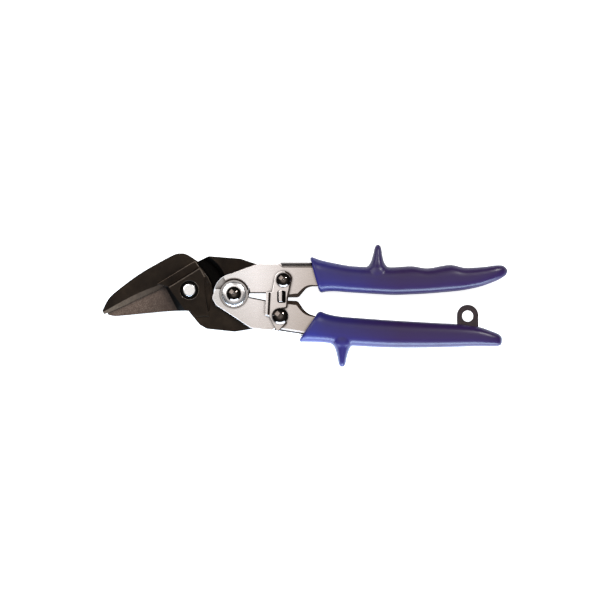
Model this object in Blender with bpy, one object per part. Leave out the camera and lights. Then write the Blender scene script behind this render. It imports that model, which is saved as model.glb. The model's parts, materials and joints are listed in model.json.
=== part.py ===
"""Offset aviation snips with compound leverage.

Two pressed-steel channel handles turn on a common handle pivot. Each handle drives the
tang of one forged blade, and the blades turn on their own pivot, so the four pivots form
a kite-shaped linkage. A latch plate on the upper handle holds the handles shut.

The tool lies on its side: X runs from the blade tips (-) to the grips (+), Y runs across
the handles, and Z is the thickness, with the near side at +Z. The origin is the centre of
the blade pivot bolt's far end, which lies on the plane the tool rests on. Lengths below
are in millimetres, and heights are measured from the shear plane between the blades:
add_object lifts each piece from there to the rest plane.
"""

import math

import bmesh
import bpy
from mathutils import Vector

MM = 0.001
ARC_STEP = math.radians(15.0)
TURNED_SEGMENTS = 32
GAP = 0.3

# The linkage: a kite that is symmetric about an axis tilted from X.
AXIS_TILT = math.radians(-5.0)
HANDLE_PIVOT_REACH = 26.66
TANG_PIVOT_REACH = 55.2
TANG_PIVOT_OFFSET = 10.83

# Thickness levels, measured from the shear plane.
SHEAR_GAP = 0.15
EAR_INNER = 4.5
EAR_OUTER = 6.5
LOBE_INNER = 2.2
LOBE_OUTER = 4.2
TANG_HALF = 4.2
LEAF_TOP = 3.8
BOSS_TOP = 5.4
WASHER_END = 6.8
NUT_END = 9.4
BOLT_END = NUT_END + 0.3

# Round features.
BOLT_RADIUS = 2.5
BOLT_HOLE_RADIUS = BOLT_RADIUS + GAP
BLADE_BOLT_RADIUS = 3.8
BLADE_BOLT_HOLE_RADIUS = 4.2
COUNTERBORE_RADIUS = 5.5
COUNTERBORE_FLOOR = 1.7
TANG_EYE_RADIUS = 5.5
DOME_RADIUS = 4.35
SLEEVE_RADIUS = 3.6
LINKAGE_CLEAR_RADIUS = 12.3
WAIST_RADIUS = 10.7
RAMP_FOOT_RADIUS = 20.0
RAMP_RIDGE_RADIUS = 23.1
DISH_FLOOR_RADIUS = 9.0
DISH_RIM_RADIUS = 10.3
LOWER_EAR_RADIUS = 8.7
LOBE_NOSE_RADIUS = 11.9
LOBE_NOSE_START = 122.0
LOBE_NOSE_END = 164.0

CHROME = ("satin_nickel", (0.74, 0.70, 0.67), 0.28, 1.0)
BRIGHT = ("bright_chrome", (0.82, 0.81, 0.80), 0.10, 1.0)
FORGED = ("forged_black", (0.045, 0.034, 0.028), 0.45, 0.6)
VINYL = ("blue_vinyl", (0.045, 0.045, 0.33), 0.38, 0.0)
DARK_STEEL = ("dark_steel", (0.045, 0.025, 0.03), 0.45, 0.5)
SPRING_STEEL = ("spring_steel", (0.35, 0.34, 0.33), 0.3, 1.0)


def on_axis(reach, offset=0.0):
    """Point in the blade plane, given along and across the linkage's tilted axis."""
    along = Vector((math.cos(AXIS_TILT), math.sin(AXIS_TILT)))
    across = Vector((-along.y, along.x))
    return along * reach + across * offset


BLADE_PIVOT = Vector((0.0, 0.0))
HANDLE_PIVOT = on_axis(HANDLE_PIVOT_REACH)
UPPER_TANG_PIVOT = on_axis(TANG_PIVOT_REACH, TANG_PIVOT_OFFSET)
LOWER_TANG_PIVOT = on_axis(TANG_PIVOT_REACH, -TANG_PIVOT_OFFSET)


# ---------------------------------------------------------------- outlines

def arc(centre, radius, start, end):
    """Points on a circle from start to end, in degrees, in the order given."""
    sweep = math.radians(end - start)
    steps = max(2, math.ceil(abs(sweep) / ARC_STEP))
    angles = [math.radians(start) + sweep * k / steps for k in range(steps + 1)]
    return [(centre[0] + radius * math.cos(a), centre[1] + radius * math.sin(a)) for a in angles]


def circle(centre, radius, segments=TURNED_SEGMENTS):
    """Closed circular outline."""
    angles = [math.tau * k / segments for k in range(segments)]
    return [(centre[0] + radius * math.cos(a), centre[1] + radius * math.sin(a)) for a in angles]


def rounded(corners):
    """Closed outline from (x, y) points and (x, y, radius) corners, whose radius becomes an arc."""
    outline = []
    for i, corner in enumerate(corners):
        here = Vector(corner[:2])
        if len(corner) == 2:
            outline.append(tuple(here))
            continue
        radius = corner[2]
        back = (Vector(corners[i - 1][:2]) - here).normalized()
        ahead = (Vector(corners[(i + 1) % len(corners)][:2]) - here).normalized()
        half = back.angle(ahead) / 2
        centre = here + (back + ahead).normalized() * radius / math.sin(half)
        spoke = here + back * radius / math.tan(half) - centre
        sweep = math.pi - 2 * half
        if back.x * ahead.y - back.y * ahead.x > 0:
            sweep = -sweep
        steps = max(2, math.ceil(abs(sweep) / ARC_STEP))
        for k in range(steps + 1):
            turn = sweep * k / steps
            outline.append((
                centre.x + spoke.x * math.cos(turn) - spoke.y * math.sin(turn),
                centre.y + spoke.x * math.sin(turn) + spoke.y * math.cos(turn),
            ))
    return outline


def spline(points, per_span):
    """Open curve through points of any dimension (Catmull-Rom)."""
    padded = [points[0]] + list(points) + [points[-1]]
    curve = []
    for i in range(1, len(padded) - 2):
        a, b, c, d = padded[i - 1:i + 3]
        for k in range(per_span):
            t = k / per_span
            curve.append(tuple(
                0.5 * (2 * q + (r - p) * t + (2 * p - 5 * q + 4 * r - s) * t * t
                       + (3 * q - p - 3 * r + s) * t ** 3)
                for p, q, r, s in zip(a, b, c, d)
            ))
    curve.append(tuple(points[-1]))
    return curve


def shifted(points, distance):
    """Open line moved sideways, to its left as it runs."""
    moved = []
    for i, point in enumerate(points):
        before = Vector(points[max(i - 1, 0)])
        after = Vector(points[min(i + 1, len(points) - 1)])
        run = (after - before).normalized()
        moved.append((point[0] - run.y * distance, point[1] + run.x * distance))
    return moved


def hexagon(centre, across_flats):
    """Closed hexagon with two flats facing Y."""
    return circle(centre, across_flats / math.sqrt(3.0), 6)


# ---------------------------------------------------------------- solids

def add_object(name, shell):
    """Scene object from a closed bmesh in millimetres above the shear plane."""
    bmesh.ops.recalc_face_normals(shell, faces=shell.faces)
    bmesh.ops.translate(shell, vec=(0.0, 0.0, BOLT_END), verts=shell.verts)
    bmesh.ops.scale(shell, vec=(MM, MM, MM), verts=shell.verts)
    mesh = bpy.data.meshes.new(name)
    shell.to_mesh(mesh)
    shell.free()
    piece = bpy.data.objects.new(name, mesh)
    bpy.context.scene.collection.objects.link(piece)
    return piece


def loft(name, layers):
    """Solid whose side runs through equal-length closed loops of (x, y, z), capped at both ends."""
    shell = bmesh.new()
    rings = [[shell.verts.new(point) for point in layer] for layer in layers]
    count = len(layers[0])
    for low, high in zip(rings, rings[1:]):
        for i in range(count):
            shell.faces.new((low[i], low[(i + 1) % count], high[(i + 1) % count], high[i]))
    shell.faces.new(rings[0])
    shell.faces.new(rings[-1])
    return add_object(name, shell)


def at_height(outline, z):
    """Flat outline lifted to a height."""
    return [(x, y, z) for x, y in outline]


def prism(name, outline, low, high):
    """Straight-sided solid between two heights."""
    return loft(name, [at_height(outline, low), at_height(outline, high)])


def frustum(name, centre, low, low_radius, high, high_radius):
    """Cone frustum between two heights."""
    return loft(name, [
        at_height(circle(centre, low_radius, 2 * TURNED_SEGMENTS), low),
        at_height(circle(centre, high_radius, 2 * TURNED_SEGMENTS), high),
    ])


def turned(name, centre, profile):
    """Turned solid from (radius, z) points that run round its section; radius 0 is the axis."""
    shell = bmesh.new()
    rings = []
    for radius, z in profile:
        if radius == 0:
            rings.append([shell.verts.new((centre[0], centre[1], z))])
        else:
            rings.append([shell.verts.new((x, y, z)) for x, y in circle(centre, radius)])
    is_ring = all(radius > 0 for radius, _ in profile)
    pairs = list(zip(rings, rings[1:]))
    if is_ring:
        pairs.append((rings[-1], rings[0]))
    for low, high in pairs:
        for i in range(TURNED_SEGMENTS):
            j = (i + 1) % TURNED_SEGMENTS
            corners = [low[i % len(low)], low[j % len(low)], high[j % len(high)], high[i % len(high)]]
            distinct = list(dict.fromkeys(corners))
            shell.faces.new(distinct)
    return add_object(name, shell)


def combine(piece, tool, operation):
    """Boolean of a piece with a tool, which is then removed."""
    modifier = piece.modifiers.new(operation.lower(), "BOOLEAN")
    modifier.operation = operation
    modifier.solver = "EXACT"
    modifier.object = tool
    evaluated = piece.evaluated_get(bpy.context.evaluated_depsgraph_get())
    result = bpy.data.meshes.new_from_object(evaluated)
    piece.modifiers.clear()
    piece.data = result
    bpy.data.objects.remove(tool)


def cut(piece, *tools):
    """Remove each tool's volume from a piece."""
    for tool in tools:
        combine(piece, tool, "DIFFERENCE")


def weld(piece, *others):
    """Merge other solids into a piece."""
    for other in others:
        combine(piece, other, "UNION")


def drill(piece, centre, radius, low=-20.0, high=20.0):
    """Round hole along Z."""
    cut(piece, prism("drill", circle(centre, radius), low, high))


def finish(piece, material, smooth_angle=35.0):
    """Give a piece its material and smooth its round stretches."""
    name, colour, roughness, metallic = material
    own = bpy.data.materials.new(f"{piece.name}_{name}")
    own.use_nodes = True
    shader = own.node_tree.nodes["Principled BSDF"]
    shader.inputs["Base Color"].default_value = (*colour, 1.0)
    shader.inputs["Roughness"].default_value = roughness
    shader.inputs["Metallic"].default_value = metallic
    piece.data.name = piece.name
    piece.data.materials.clear()
    piece.data.materials.append(own)
    piece.data.shade_smooth()
    piece.data.set_sharp_from_angle(angle=math.radians(smooth_angle))
    return piece


# ---------------------------------------------------------------- blades

BLADE_BACK = [
    (-51.9, -12.5), (-48.0, -5.0), (-41.9, 0.6), (-30.3, 9.2), (-18.6, 16.1),
    (-9.0, 21.1), (-5.2, 21.8), (-1.5, 21.2), (5.0, 17.1),
]
UPPER_EDGE = [(-51.2, -13.7), (-49.9, -14.1), (-39.5, -9.6), (-29.0, -4.6), (-18.6, 0.2), (-14.8, 2.9)]
GRIND_TOP = [(-51.0, -12.8), (-49.9, -12.3), (-39.4, -6.4), (-29.0, -1.2), (-19.4, 2.5), (-16.4, 4.6)]
EDGE_LAND = 1.0
BACK_CHAMFER = 1.2


def upper_leaf():
    """Cutting leaf of the near blade, with its ground bevel and chamfered back."""
    back = spline(BLADE_BACK, 3)[::-1]
    inner_back = shifted(back, BACK_CHAMFER)
    root = [(-8.0, 5.0), (5.0, 13.0)]
    outline = UPPER_EDGE + root + back
    crown = GRIND_TOP + root + inner_back
    shoulder = (
        [(x, y, EDGE_LAND) for x, y in UPPER_EDGE]
        + at_height(root, LEAF_TOP - BACK_CHAMFER)
        + at_height(back, LEAF_TOP - BACK_CHAMFER)
    )
    return loft("upper_leaf", [at_height(outline, SHEAR_GAP), shoulder, at_height(crown, LEAF_TOP)])


def upper_step():
    """Low step on the leaf that runs alongside the boss."""
    foot = [(-19.4, 3.4), (-12.0, 1.9), (6.1, 13.4), (3.6, 17.4), (-0.4, 15.2)]
    return prism("upper_step", foot, SHEAR_GAP, LEAF_TOP + 0.5)


def upper_boss():
    """Raised boss round the blade pivot, with a steep ramp on its lower left."""
    foot = [
        (-15.0, 3.2), (-7.0, -12.0), (-0.5, -12.4), (3.0, -16.2), (12.4, -17.0),
        (11.6, -7.0), (11.2, 0.0), (11.4, 7.6), (7.4, 13.2), (6.4, 13.4),
    ]
    crown = [
        (-12.3, 1.7), (-2.6, -12.1), (-0.3, -12.1), (3.1, -15.8), (11.4, -15.4),
        (9.9, -7.1), (8.7, 0.1), (9.3, 7.8), (6.8, 12.6), (6.0, 13.0),
    ]
    return loft("upper_boss", [at_height(foot, SHEAR_GAP), at_height(crown, BOSS_TOP)])


def upper_blade():
    """Near blade: its tang crosses below the handle pivot to the lower tang pivot."""
    eye = arc(LOWER_TANG_PIVOT, TANG_EYE_RADIUS, -110.0, 120.0)
    waist = (
        arc(HANDLE_PIVOT, LINKAGE_CLEAR_RADIUS, -48.0, -80.0)
        + arc(HANDLE_PIVOT, WAIST_RADIUS, -96.0, -143.0)
        + arc(HANDLE_PIVOT, LINKAGE_CLEAR_RADIUS, -158.0, -182.0)
    )
    outline = rounded([
        (-0.5, -12.4), (6.2, -20.6, 3.0), (10.4, -23.0, 4.0), (27.0, -24.75, 8.0), (37.7, -23.05, 6.0),
        (46.0, -20.4, 6.0), *eye, *waist, (13.0, 3.5), (10.8, 8.0), (6.4, 13.4), (-4.0, 6.0), (-6.0, -4.0),
        (-3.0, -12.2),
    ])
    blade = prism("upper_blade", outline, -TANG_HALF, TANG_HALF)
    cut(blade, frustum("sweep", BLADE_PIVOT, -TANG_HALF - 1.0, RAMP_RIDGE_RADIUS + 0.6,
                       SHEAR_GAP, RAMP_FOOT_RADIUS))
    weld(blade, upper_leaf(), upper_step(), upper_boss())
    drill(blade, BLADE_PIVOT, BLADE_BOLT_HOLE_RADIUS)
    drill(blade, BLADE_PIVOT, COUNTERBORE_RADIUS, COUNTERBORE_FLOOR)
    drill(blade, LOWER_TANG_PIVOT, BOLT_HOLE_RADIUS)
    return finish(blade, FORGED)


LOWER_BELLY = [(-48.3, -14.8), (-44.0, -15.5), (-35.3, -14.8), (-22.8, -13.6), (-10.2, -12.5), (-0.7, -12.3)]
LOWER_EDGE = [(-49.4, -12.9), (-39.4, -7.4), (-29.0, -2.4), (-18.6, 2.4), (-12.0, 6.6)]
LOWER_GRIND = [(-48.6, -14.0), (-39.4, -10.2), (-29.0, -5.6), (-18.6, -1.0), (-11.0, 3.6)]
LOWER_BELLY_INNER = [
    (-47.6, -14.2), (-44.0, -14.4), (-35.3, -13.7), (-22.8, -12.5), (-10.2, -11.4), (-0.7, -11.2),
]


def lower_leaf():
    """Cutting leaf of the far blade, ground on its far side."""
    root = [(4.0, -6.0), (2.0, 6.0), (-6.0, 8.0)]
    edge = LOWER_EDGE[::-1]
    outline = LOWER_BELLY + root + edge
    shoulder = (
        at_height(LOWER_BELLY, -LEAF_TOP + 1.0)
        + at_height(root, -LEAF_TOP + 1.0)
        + at_height(edge, -EDGE_LAND)
    )
    crown = LOWER_BELLY_INNER + root + LOWER_GRIND[::-1]
    return loft("lower_leaf", [at_height(outline, -SHEAR_GAP), shoulder, at_height(crown, -LEAF_TOP)])


def lower_blade():
    """Far blade: its tang crosses above the handle pivot to the upper tang pivot."""
    eye = arc(UPPER_TANG_PIVOT, TANG_EYE_RADIUS, 110.0, -120.0)
    waist = arc(HANDLE_PIVOT, LINKAGE_CLEAR_RADIUS, 38.0, 182.0)
    outline = rounded([
        (5.0, 17.1), (11.5, 20.2, 3.0), (30.3, 18.7, 8.0), (40.2, 15.4, 8.0), (48.0, 11.6, 6.0),
        *eye, *waist, (12.4, -7.4), (8.0, -11.6), (-0.7, -12.3), (-8.0, -12.4), (-11.0, -4.0), (-10.0, 7.4),
        (-3.0, 14.6),
    ])
    blade = prism("lower_blade", outline, -TANG_HALF, TANG_HALF)
    cut(blade, frustum("sweep", BLADE_PIVOT, -SHEAR_GAP, RAMP_FOOT_RADIUS,
                       TANG_HALF + 1.0, RAMP_RIDGE_RADIUS + 0.6))
    boss = loft("lower_boss", [
        at_height(circle(BLADE_PIVOT, 11.2), -1.0),
        at_height(circle(BLADE_PIVOT, 11.2), -BOSS_TOP + 0.5),
        at_height(circle(BLADE_PIVOT, 10.6), -BOSS_TOP),
    ])
    weld(blade, lower_leaf(), boss)
    drill(blade, BLADE_PIVOT, BLADE_BOLT_HOLE_RADIUS)
    drill(blade, UPPER_TANG_PIVOT, BOLT_HOLE_RADIUS)
    return finish(blade, FORGED)


# ---------------------------------------------------------------- handles

UPPER_TAIL = [(72.4, 16.5), (84.0, 13.2), (98.0, 11.6), (150.0, 9.6), (150.0, 2.0), (76.2, 2.2)]
LOWER_TAIL = [(75.3, -15.5), (84.0, -17.9), (150.0, -22.6), (150.0, -31.4), (96.0, -30.4), (67.6, -27.6)]
SHEET = 2.0


def upper_handle_frame():
    """Channel whose ears step inwards to pass between the lower handle's ears."""
    seat = arc(HANDLE_PIVOT, DISH_FLOOR_RADIUS, 2.0, -196.0)
    nose = arc(HANDLE_PIVOT, LOBE_NOSE_RADIUS, LOBE_NOSE_END, 107.0)
    outline = rounded([
        (53.0, 15.4), (54.0, 16.5), *UPPER_TAIL, (67.6, 2.2, 6.0), (63.6, -4.4, 0.8), (50.0, -4.4, 1.5),
        (46.6, -1.9, 1.5), (36.6, -1.9), *seat, *nose, (30.7, 12.0, 20.0), (40.2, 15.4, 6.0),
    ])
    frame = prism("upper_handle_frame", outline, -EAR_OUTER, EAR_OUTER)
    inside = [
        (53.4, 30.0), (53.4, 16.5 - SHEET), (72.0, 16.5 - SHEET), (84.0, 13.2 - SHEET), (98.0, 11.6 - SHEET),
        (151.0, 9.5 - SHEET), (151.0, -20.0),
    ]
    bay = inside + [(32.0, -20.0)] + arc(HANDLE_PIVOT, 11.0, -60.0, 112.0) + [(20.0, 12.0), (20.0, 30.0)]
    sector = (
        arc(HANDLE_PIVOT, 14.0, LOBE_NOSE_START, 200.0) + arc(HANDLE_PIVOT, 7.0, 200.0, LOBE_NOSE_START)
    )
    cut(frame, prism("slot", inside + [(5.0, -20.0), (5.0, 30.0)], -LOBE_INNER, LOBE_INNER))
    for side in (-1, 1):
        cut(
            frame,
            prism("bay", bay, side * (LOBE_INNER - 0.1), side * EAR_INNER),
            frustum("dish", HANDLE_PIVOT, side * LOBE_OUTER, DISH_FLOOR_RADIUS,
                    side * (EAR_OUTER + 0.2), DISH_RIM_RADIUS),
            prism("nose_step", sector, side * LOBE_OUTER, side * (EAR_OUTER + 1.0)),
        )
    drill(frame, HANDLE_PIVOT, SLEEVE_RADIUS + GAP)
    drill(frame, UPPER_TANG_PIVOT, BOLT_HOLE_RADIUS)
    return finish(frame, CHROME)


def lower_handle_frame():
    """Channel whose flat ears carry the handle pivot."""
    crest = arc(HANDLE_PIVOT, LOWER_EAR_RADIUS, -11.0, 158.0)
    outline = rounded([
        *crest, (15.9, 1.2, 0.6), (13.4, -4.6, 3.0), (16.0, -9.0, 2.5), (27.5, -16.5), (36.6, -22.6, 5.0),
        (48.9, -24.0), (50.0, -24.9), *LOWER_TAIL[::-1], (69.9, -13.3, 12.0), (63.4, -6.4, 0.8),
        (45.3, -6.0, 2.0), (36.6, -4.3),
    ])
    frame = prism("lower_handle_frame", outline, -EAR_OUTER, EAR_OUTER)
    inside = [
        (49.6, -40.0), (49.6, -24.9 + SHEET), (67.6, -27.6 + SHEET), (96.0, -30.4 + SHEET),
        (151.0, -31.4 + SHEET), (151.0, 20.0), (5.0, 20.0), (5.0, -40.0),
    ]
    cut(frame, prism("inside", inside, -EAR_INNER, EAR_INNER))
    drill(frame, HANDLE_PIVOT, BOLT_HOLE_RADIUS)
    drill(frame, LOWER_TANG_PIVOT, BOLT_HOLE_RADIUS)
    return finish(frame, CHROME)


# Grip stations: top point, bottom point and half thickness, from the mouth to the tail.
UPPER_GRIP_STATIONS = [
    (73.0, 19.3, 78.8, -1.3, 8.9), (77.0, 18.2, 81.0, -0.8, 8.9), (86.0, 16.2, 87.0, -0.8, 8.8),
    (94.8, 14.6, 95.0, -1.4, 8.8), (106.0, 13.8, 106.0, -2.1, 8.8), (121.0, 13.7, 121.0, -2.9, 8.8),
    (132.3, 14.3, 132.0, -2.6, 8.7), (141.9, 13.1, 142.0, -2.1, 8.6), (155.0, 15.1, 154.0, -1.1, 8.3),
    (164.0, 13.4, 163.0, -0.1, 7.8), (175.0, 13.9, 173.0, 2.0, 7.0), (183.0, 14.9, 181.0, 4.8, 6.0),
    (187.2, 14.4, 185.6, 6.9, 4.6), (189.4, 12.0, 188.8, 9.2, 2.2),
]
LOWER_GRIP_STATIONS = [
    (78.6, -13.2, 66.8, -30.5, 8.9), (82.0, -14.3, 71.0, -30.8, 8.9), (88.0, -15.4, 80.5, -31.3, 8.8),
    (94.8, -16.1, 90.0, -32.6, 8.8), (108.0, -17.1, 106.0, -33.7, 8.8), (121.0, -18.0, 121.0, -34.3, 8.8),
    (140.0, -19.1, 140.0, -34.3, 8.6), (159.0, -20.2, 158.0, -33.9, 8.2), (172.0, -21.8, 170.0, -33.5, 7.6),
    (180.3, -24.8, 178.0, -33.3, 6.6), (184.6, -27.6, 182.8, -33.0, 4.8), (186.0, -29.6, 185.2, -32.0, 2.4),
]
GRIP_SECTION_POINTS = 16
GRIP_SQUARENESS = 2.7
UPPER_STOP = [
    (104.6, 12.6), (107.4, 15.0), (109.0, 19.0), (110.2, 24.0), (111.2, 26.1), (112.2, 26.5), (113.2, 26.0),
    (114.0, 24.0), (114.8, 19.0), (116.4, 15.4), (119.6, 12.6), (118.0, 7.0), (106.0, 7.0),
]
LOWER_STOP = [
    (84.6, -31.2), (87.2, -33.8), (88.4, -38.0), (89.4, -43.8), (90.0, -44.8), (90.9, -45.1), (91.9, -44.8),
    (92.5, -43.8), (93.4, -39.7), (94.6, -35.4), (98.0, -32.4), (96.0, -26.0), (86.0, -26.0),
]
STOP_HALF_WIDTH = 5.6

# Hanging tab: crown centre, hole, and the shoulder where its root goes into the grip.
TAB_LEFT = 159.3
TAB_RIGHT = 172.0
TAB_CROWN = -15.05
TAB_SHOULDER = -19.7
TAB_FOOT = -27.5
TAB_HALF = 1.25
TAB_ROOT_HALF = 1.0
TAB_HOLE = (165.6, -15.5)
TAB_HOLE_RADIUS = 3.35


def power(value, exponent):
    """Signed power, for rounded-square sections."""
    return math.copysign(abs(value) ** exponent, value)


def grip_sleeve(name, stations):
    """Moulded sleeve lofted through rounded-square sections."""
    layers = []
    for top_x, top_y, low_x, low_y, half in spline(stations, 2):
        middle = Vector(((top_x + low_x) / 2, (top_y + low_y) / 2))
        reach = Vector((top_x, top_y)) - middle
        ring = []
        for k in range(GRIP_SECTION_POINTS):
            angle = math.tau * (k + 0.5) / GRIP_SECTION_POINTS
            across = power(math.sin(angle), 2 / GRIP_SQUARENESS)
            outward = power(math.cos(angle), 2 / GRIP_SQUARENESS)
            point = middle + reach * across
            ring.append((point.x, point.y, half * outward))
        layers.append(ring)
    return loft(name, layers)


def grip_stop(outline, centre):
    """Finger or thumb stop, thinner towards both sides."""
    narrow = [(centre[0] + (x - centre[0]) * 0.8, centre[1] + (y - centre[1]) * 0.93) for x, y in outline]
    return loft("stop", [
        at_height(narrow, -STOP_HALF_WIDTH), at_height(outline, -STOP_HALF_WIDTH + 1.6),
        at_height(outline, STOP_HALF_WIDTH - 1.6), at_height(narrow, STOP_HALF_WIDTH),
    ])


def upper_grip():
    """Vinyl grip with finger stop and finger waves."""
    grip = grip_sleeve("upper_grip", UPPER_GRIP_STATIONS)
    weld(grip, grip_stop(UPPER_STOP, (112.2, 10.0)))
    pocket = [
        (60.0, 16.5 + GAP), (72.6, 16.5 + GAP), (84.2, 13.2 + GAP), (98.1, 11.6 + GAP),
        (150.0 + GAP, 9.6 + GAP), (150.0 + GAP, 2.0 - GAP), (60.0, 2.2 - GAP),
    ]
    cut(grip, prism("pocket", pocket, -EAR_OUTER - GAP, EAR_OUTER + GAP))
    return finish(grip, VINYL, 50.0)


def lower_grip():
    """Vinyl grip with thumb stop and a slot for the hanging tab."""
    grip = grip_sleeve("lower_grip", LOWER_GRIP_STATIONS)
    weld(grip, grip_stop(LOWER_STOP, (90.9, -29.0)))
    pocket = [
        (60.0, -10.0), (75.4, -15.5 + GAP), (84.0, -17.9 + GAP), (150.0 + GAP, -22.6 + GAP),
        (150.0 + GAP, -31.4 - GAP), (96.0, -30.4 - GAP), (67.4, -27.6 - GAP), (55.0, -26.4),
    ]
    cut(grip, prism("pocket", pocket, -EAR_OUTER - GAP, EAR_OUTER + GAP))
    slot = [(TAB_LEFT - GAP, 0.0), (TAB_RIGHT + GAP, 0.0), (TAB_RIGHT + GAP, TAB_FOOT - GAP),
            (TAB_LEFT - GAP, TAB_FOOT - GAP)]
    cut(grip, prism("tab_slot", slot, -TAB_HALF - GAP, TAB_HALF + GAP))
    return finish(grip, VINYL, 50.0)


def hang_tab():
    """Flat tab with the hanging hole; its thinner root is seated in the lower grip."""
    radius = (TAB_RIGHT - TAB_LEFT) / 2
    crown = arc((TAB_LEFT + radius, TAB_CROWN), radius, 0.0, 180.0)
    plate = crown + [(TAB_LEFT, TAB_SHOULDER), (TAB_RIGHT, TAB_SHOULDER)]
    tab = prism("hang_tab", plate, -TAB_HALF, TAB_HALF)
    root = [
        (TAB_LEFT, TAB_CROWN), (TAB_RIGHT, TAB_CROWN), (TAB_RIGHT, TAB_FOOT), (TAB_LEFT, TAB_FOOT),
    ]
    weld(tab, prism("tab_root", root, -TAB_ROOT_HALF, TAB_ROOT_HALF))
    drill(tab, TAB_HOLE, TAB_HOLE_RADIUS)
    return finish(tab, DARK_STEEL)


# ---------------------------------------------------------------- latch

LATCH_LOW = EAR_OUTER + GAP
LATCH_SHEET = 1.5
LATCH_HIGH = LATCH_LOW + LATCH_SHEET
FLANGE_TOP = 12.4
BUTTON_CENTRE = LOWER_TANG_PIVOT + Vector((-0.1, 0.1))
BUTTON_SHANK_RADIUS = 1.3


def latch_plate():
    """Hooked plate on the upper tang bolt, with a raised thumb flange and a lanced window."""
    eye = arc(UPPER_TANG_PIVOT, 5.4, 10.0, 170.0)
    outline = rounded([
        *eye, (49.3, -1.0), (45.6, -1.2), (44.9, -15.0), (47.3, -15.6, 0.6), (52.3, -25.0, 0.8),
        (58.6, -19.4, 0.6), (57.6, -18.2), (55.0, -19.6), (51.4, -15.4, 1.5), (55.4, -11.2, 1.0),
        (58.4, -10.6, 0.8), (58.8, -4.6, 3.0),
    ])
    plate = prism("latch_plate", outline, LATCH_LOW, LATCH_HIGH)
    flange = [(45.7, -1.2), (47.3, -1.2), (46.6, -15.0), (45.0, -15.0)]
    weld(plate, prism("flange", flange, LATCH_LOW, FLANGE_TOP))
    drill(plate, UPPER_TANG_PIVOT, BOLT_HOLE_RADIUS)
    drill(plate, BUTTON_CENTRE, BUTTON_SHANK_RADIUS + GAP)
    window = rounded([(55.3, 0.0, 0.9), (55.3, -7.4, 0.9), (57.2, -7.4, 0.9), (57.2, 0.0, 0.9)])
    cut(plate, prism("window", window, LATCH_LOW - 1.0, LATCH_HIGH + 1.0))
    tongue = rounded([(52.4, -0.2, 1.2), (52.4, -7.2, 1.2), (55.0, -7.2, 1.2), (55.0, -0.2, 1.2)])
    weld(plate, prism("tongue", tongue, LATCH_HIGH - 0.6, LATCH_HIGH + 0.6))
    return finish(plate, CHROME)


def latch_button():
    """Domed rivet that closes the latch plate's hook."""
    base = LATCH_HIGH + GAP
    button = turned("latch_button", BUTTON_CENTRE, [
        (0, LATCH_LOW), (BUTTON_SHANK_RADIUS, LATCH_LOW), (BUTTON_SHANK_RADIUS, base), *dome(4.9, base, 2.6),
    ])
    return finish(button, BRIGHT)


# ---------------------------------------------------------------- fasteners

def dome(radius, base, height, steps=5):
    """Half profile of a domed head, from its lower rim to its crown on the axis."""
    rim = 0.45
    points = [(radius, base), (radius, base + rim)]
    for k in range(1, steps):
        angle = math.pi / 2 * k / steps
        points.append((radius * math.cos(angle), base + rim + (height - rim) * math.sin(angle)))
    points.append((0, base + height))
    return points


def bolt(name, centre, end, head_base, head_radius, head_height, shank=BOLT_RADIUS):
    """Dome-headed bolt that points away from the near side."""
    body = turned(name, centre, [
        (0, end), (shank - 0.3, end), (shank, end + 0.3), (shank, head_base),
        *dome(head_radius, head_base, head_height),
    ])
    return finish(body, BRIGHT)


def nut(name, centre, top, across_flats, bore, end=-NUT_END):
    """Hexagon nut on the far side."""
    body = prism(name, hexagon(centre, across_flats), end, top)
    drill(body, centre, bore)
    return finish(body, BRIGHT, 20.0)


def washer(name, centre, low, high, inner, outer):
    """Flat washer with a slightly broken upper edge."""
    ring = turned(name, centre, [
        (inner, low), (outer, low), (outer, high - 0.2), (outer - 0.2, high), (inner, high),
    ])
    return finish(ring, BRIGHT)


def blade_pivot_set():
    """Pivot bolt of the blades: flush on the near side, nut and washer on the far side."""
    centre = BLADE_PIVOT
    low = -BOLT_END
    stem = BLADE_BOLT_RADIUS
    flange = COUNTERBORE_RADIUS - GAP
    floor = COUNTERBORE_FLOOR + GAP
    body = turned("blade_pivot_bolt", centre, [
        (0, low), (stem - 0.4, low), (stem, low + 0.4), (stem, floor), (flange, floor), (flange, floor + 1.2),
        (stem, floor + 1.2), (stem, BOSS_TOP - 0.4), (stem - 0.3, BOSS_TOP - 0.1), (0, BOSS_TOP - 0.1),
    ])
    finish(body, BRIGHT)
    washer("blade_pivot_washer", centre, -WASHER_END, -BOSS_TOP - GAP, stem + GAP, 7.6)
    nut("blade_pivot_nut", centre, -WASHER_END - GAP, 12.0, stem + GAP)


def handle_pivot_set():
    """Handle pivot: bolt, flat washer and coned collar on the near side, sleeve, and nut."""
    centre = HANDLE_PIVOT
    inner = BOLT_HOLE_RADIUS
    washer("handle_pivot_washer", centre, EAR_OUTER + GAP, EAR_OUTER + 1.2, inner, 8.4)
    base = EAR_OUTER + 1.2 + GAP
    top = base + 1.3
    collar = turned("handle_pivot_collar", centre, [
        (inner, base), (7.2, base), (7.2, base + 0.35), (6.9, base + 0.6), (5.1, top), (inner, top),
    ])
    finish(collar, CHROME)
    bolt("handle_pivot_bolt", centre, -BOLT_END, top + GAP, DOME_RADIUS, 2.3)
    sleeve = turned("handle_pivot_sleeve", centre, [
        (inner, -LOBE_OUTER), (SLEEVE_RADIUS, -LOBE_OUTER), (SLEEVE_RADIUS, LOBE_OUTER), (inner, LOBE_OUTER),
    ])
    finish(sleeve, SPRING_STEEL)
    nut("handle_pivot_nut", centre, -EAR_OUTER - GAP, 9.0, inner)


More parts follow.
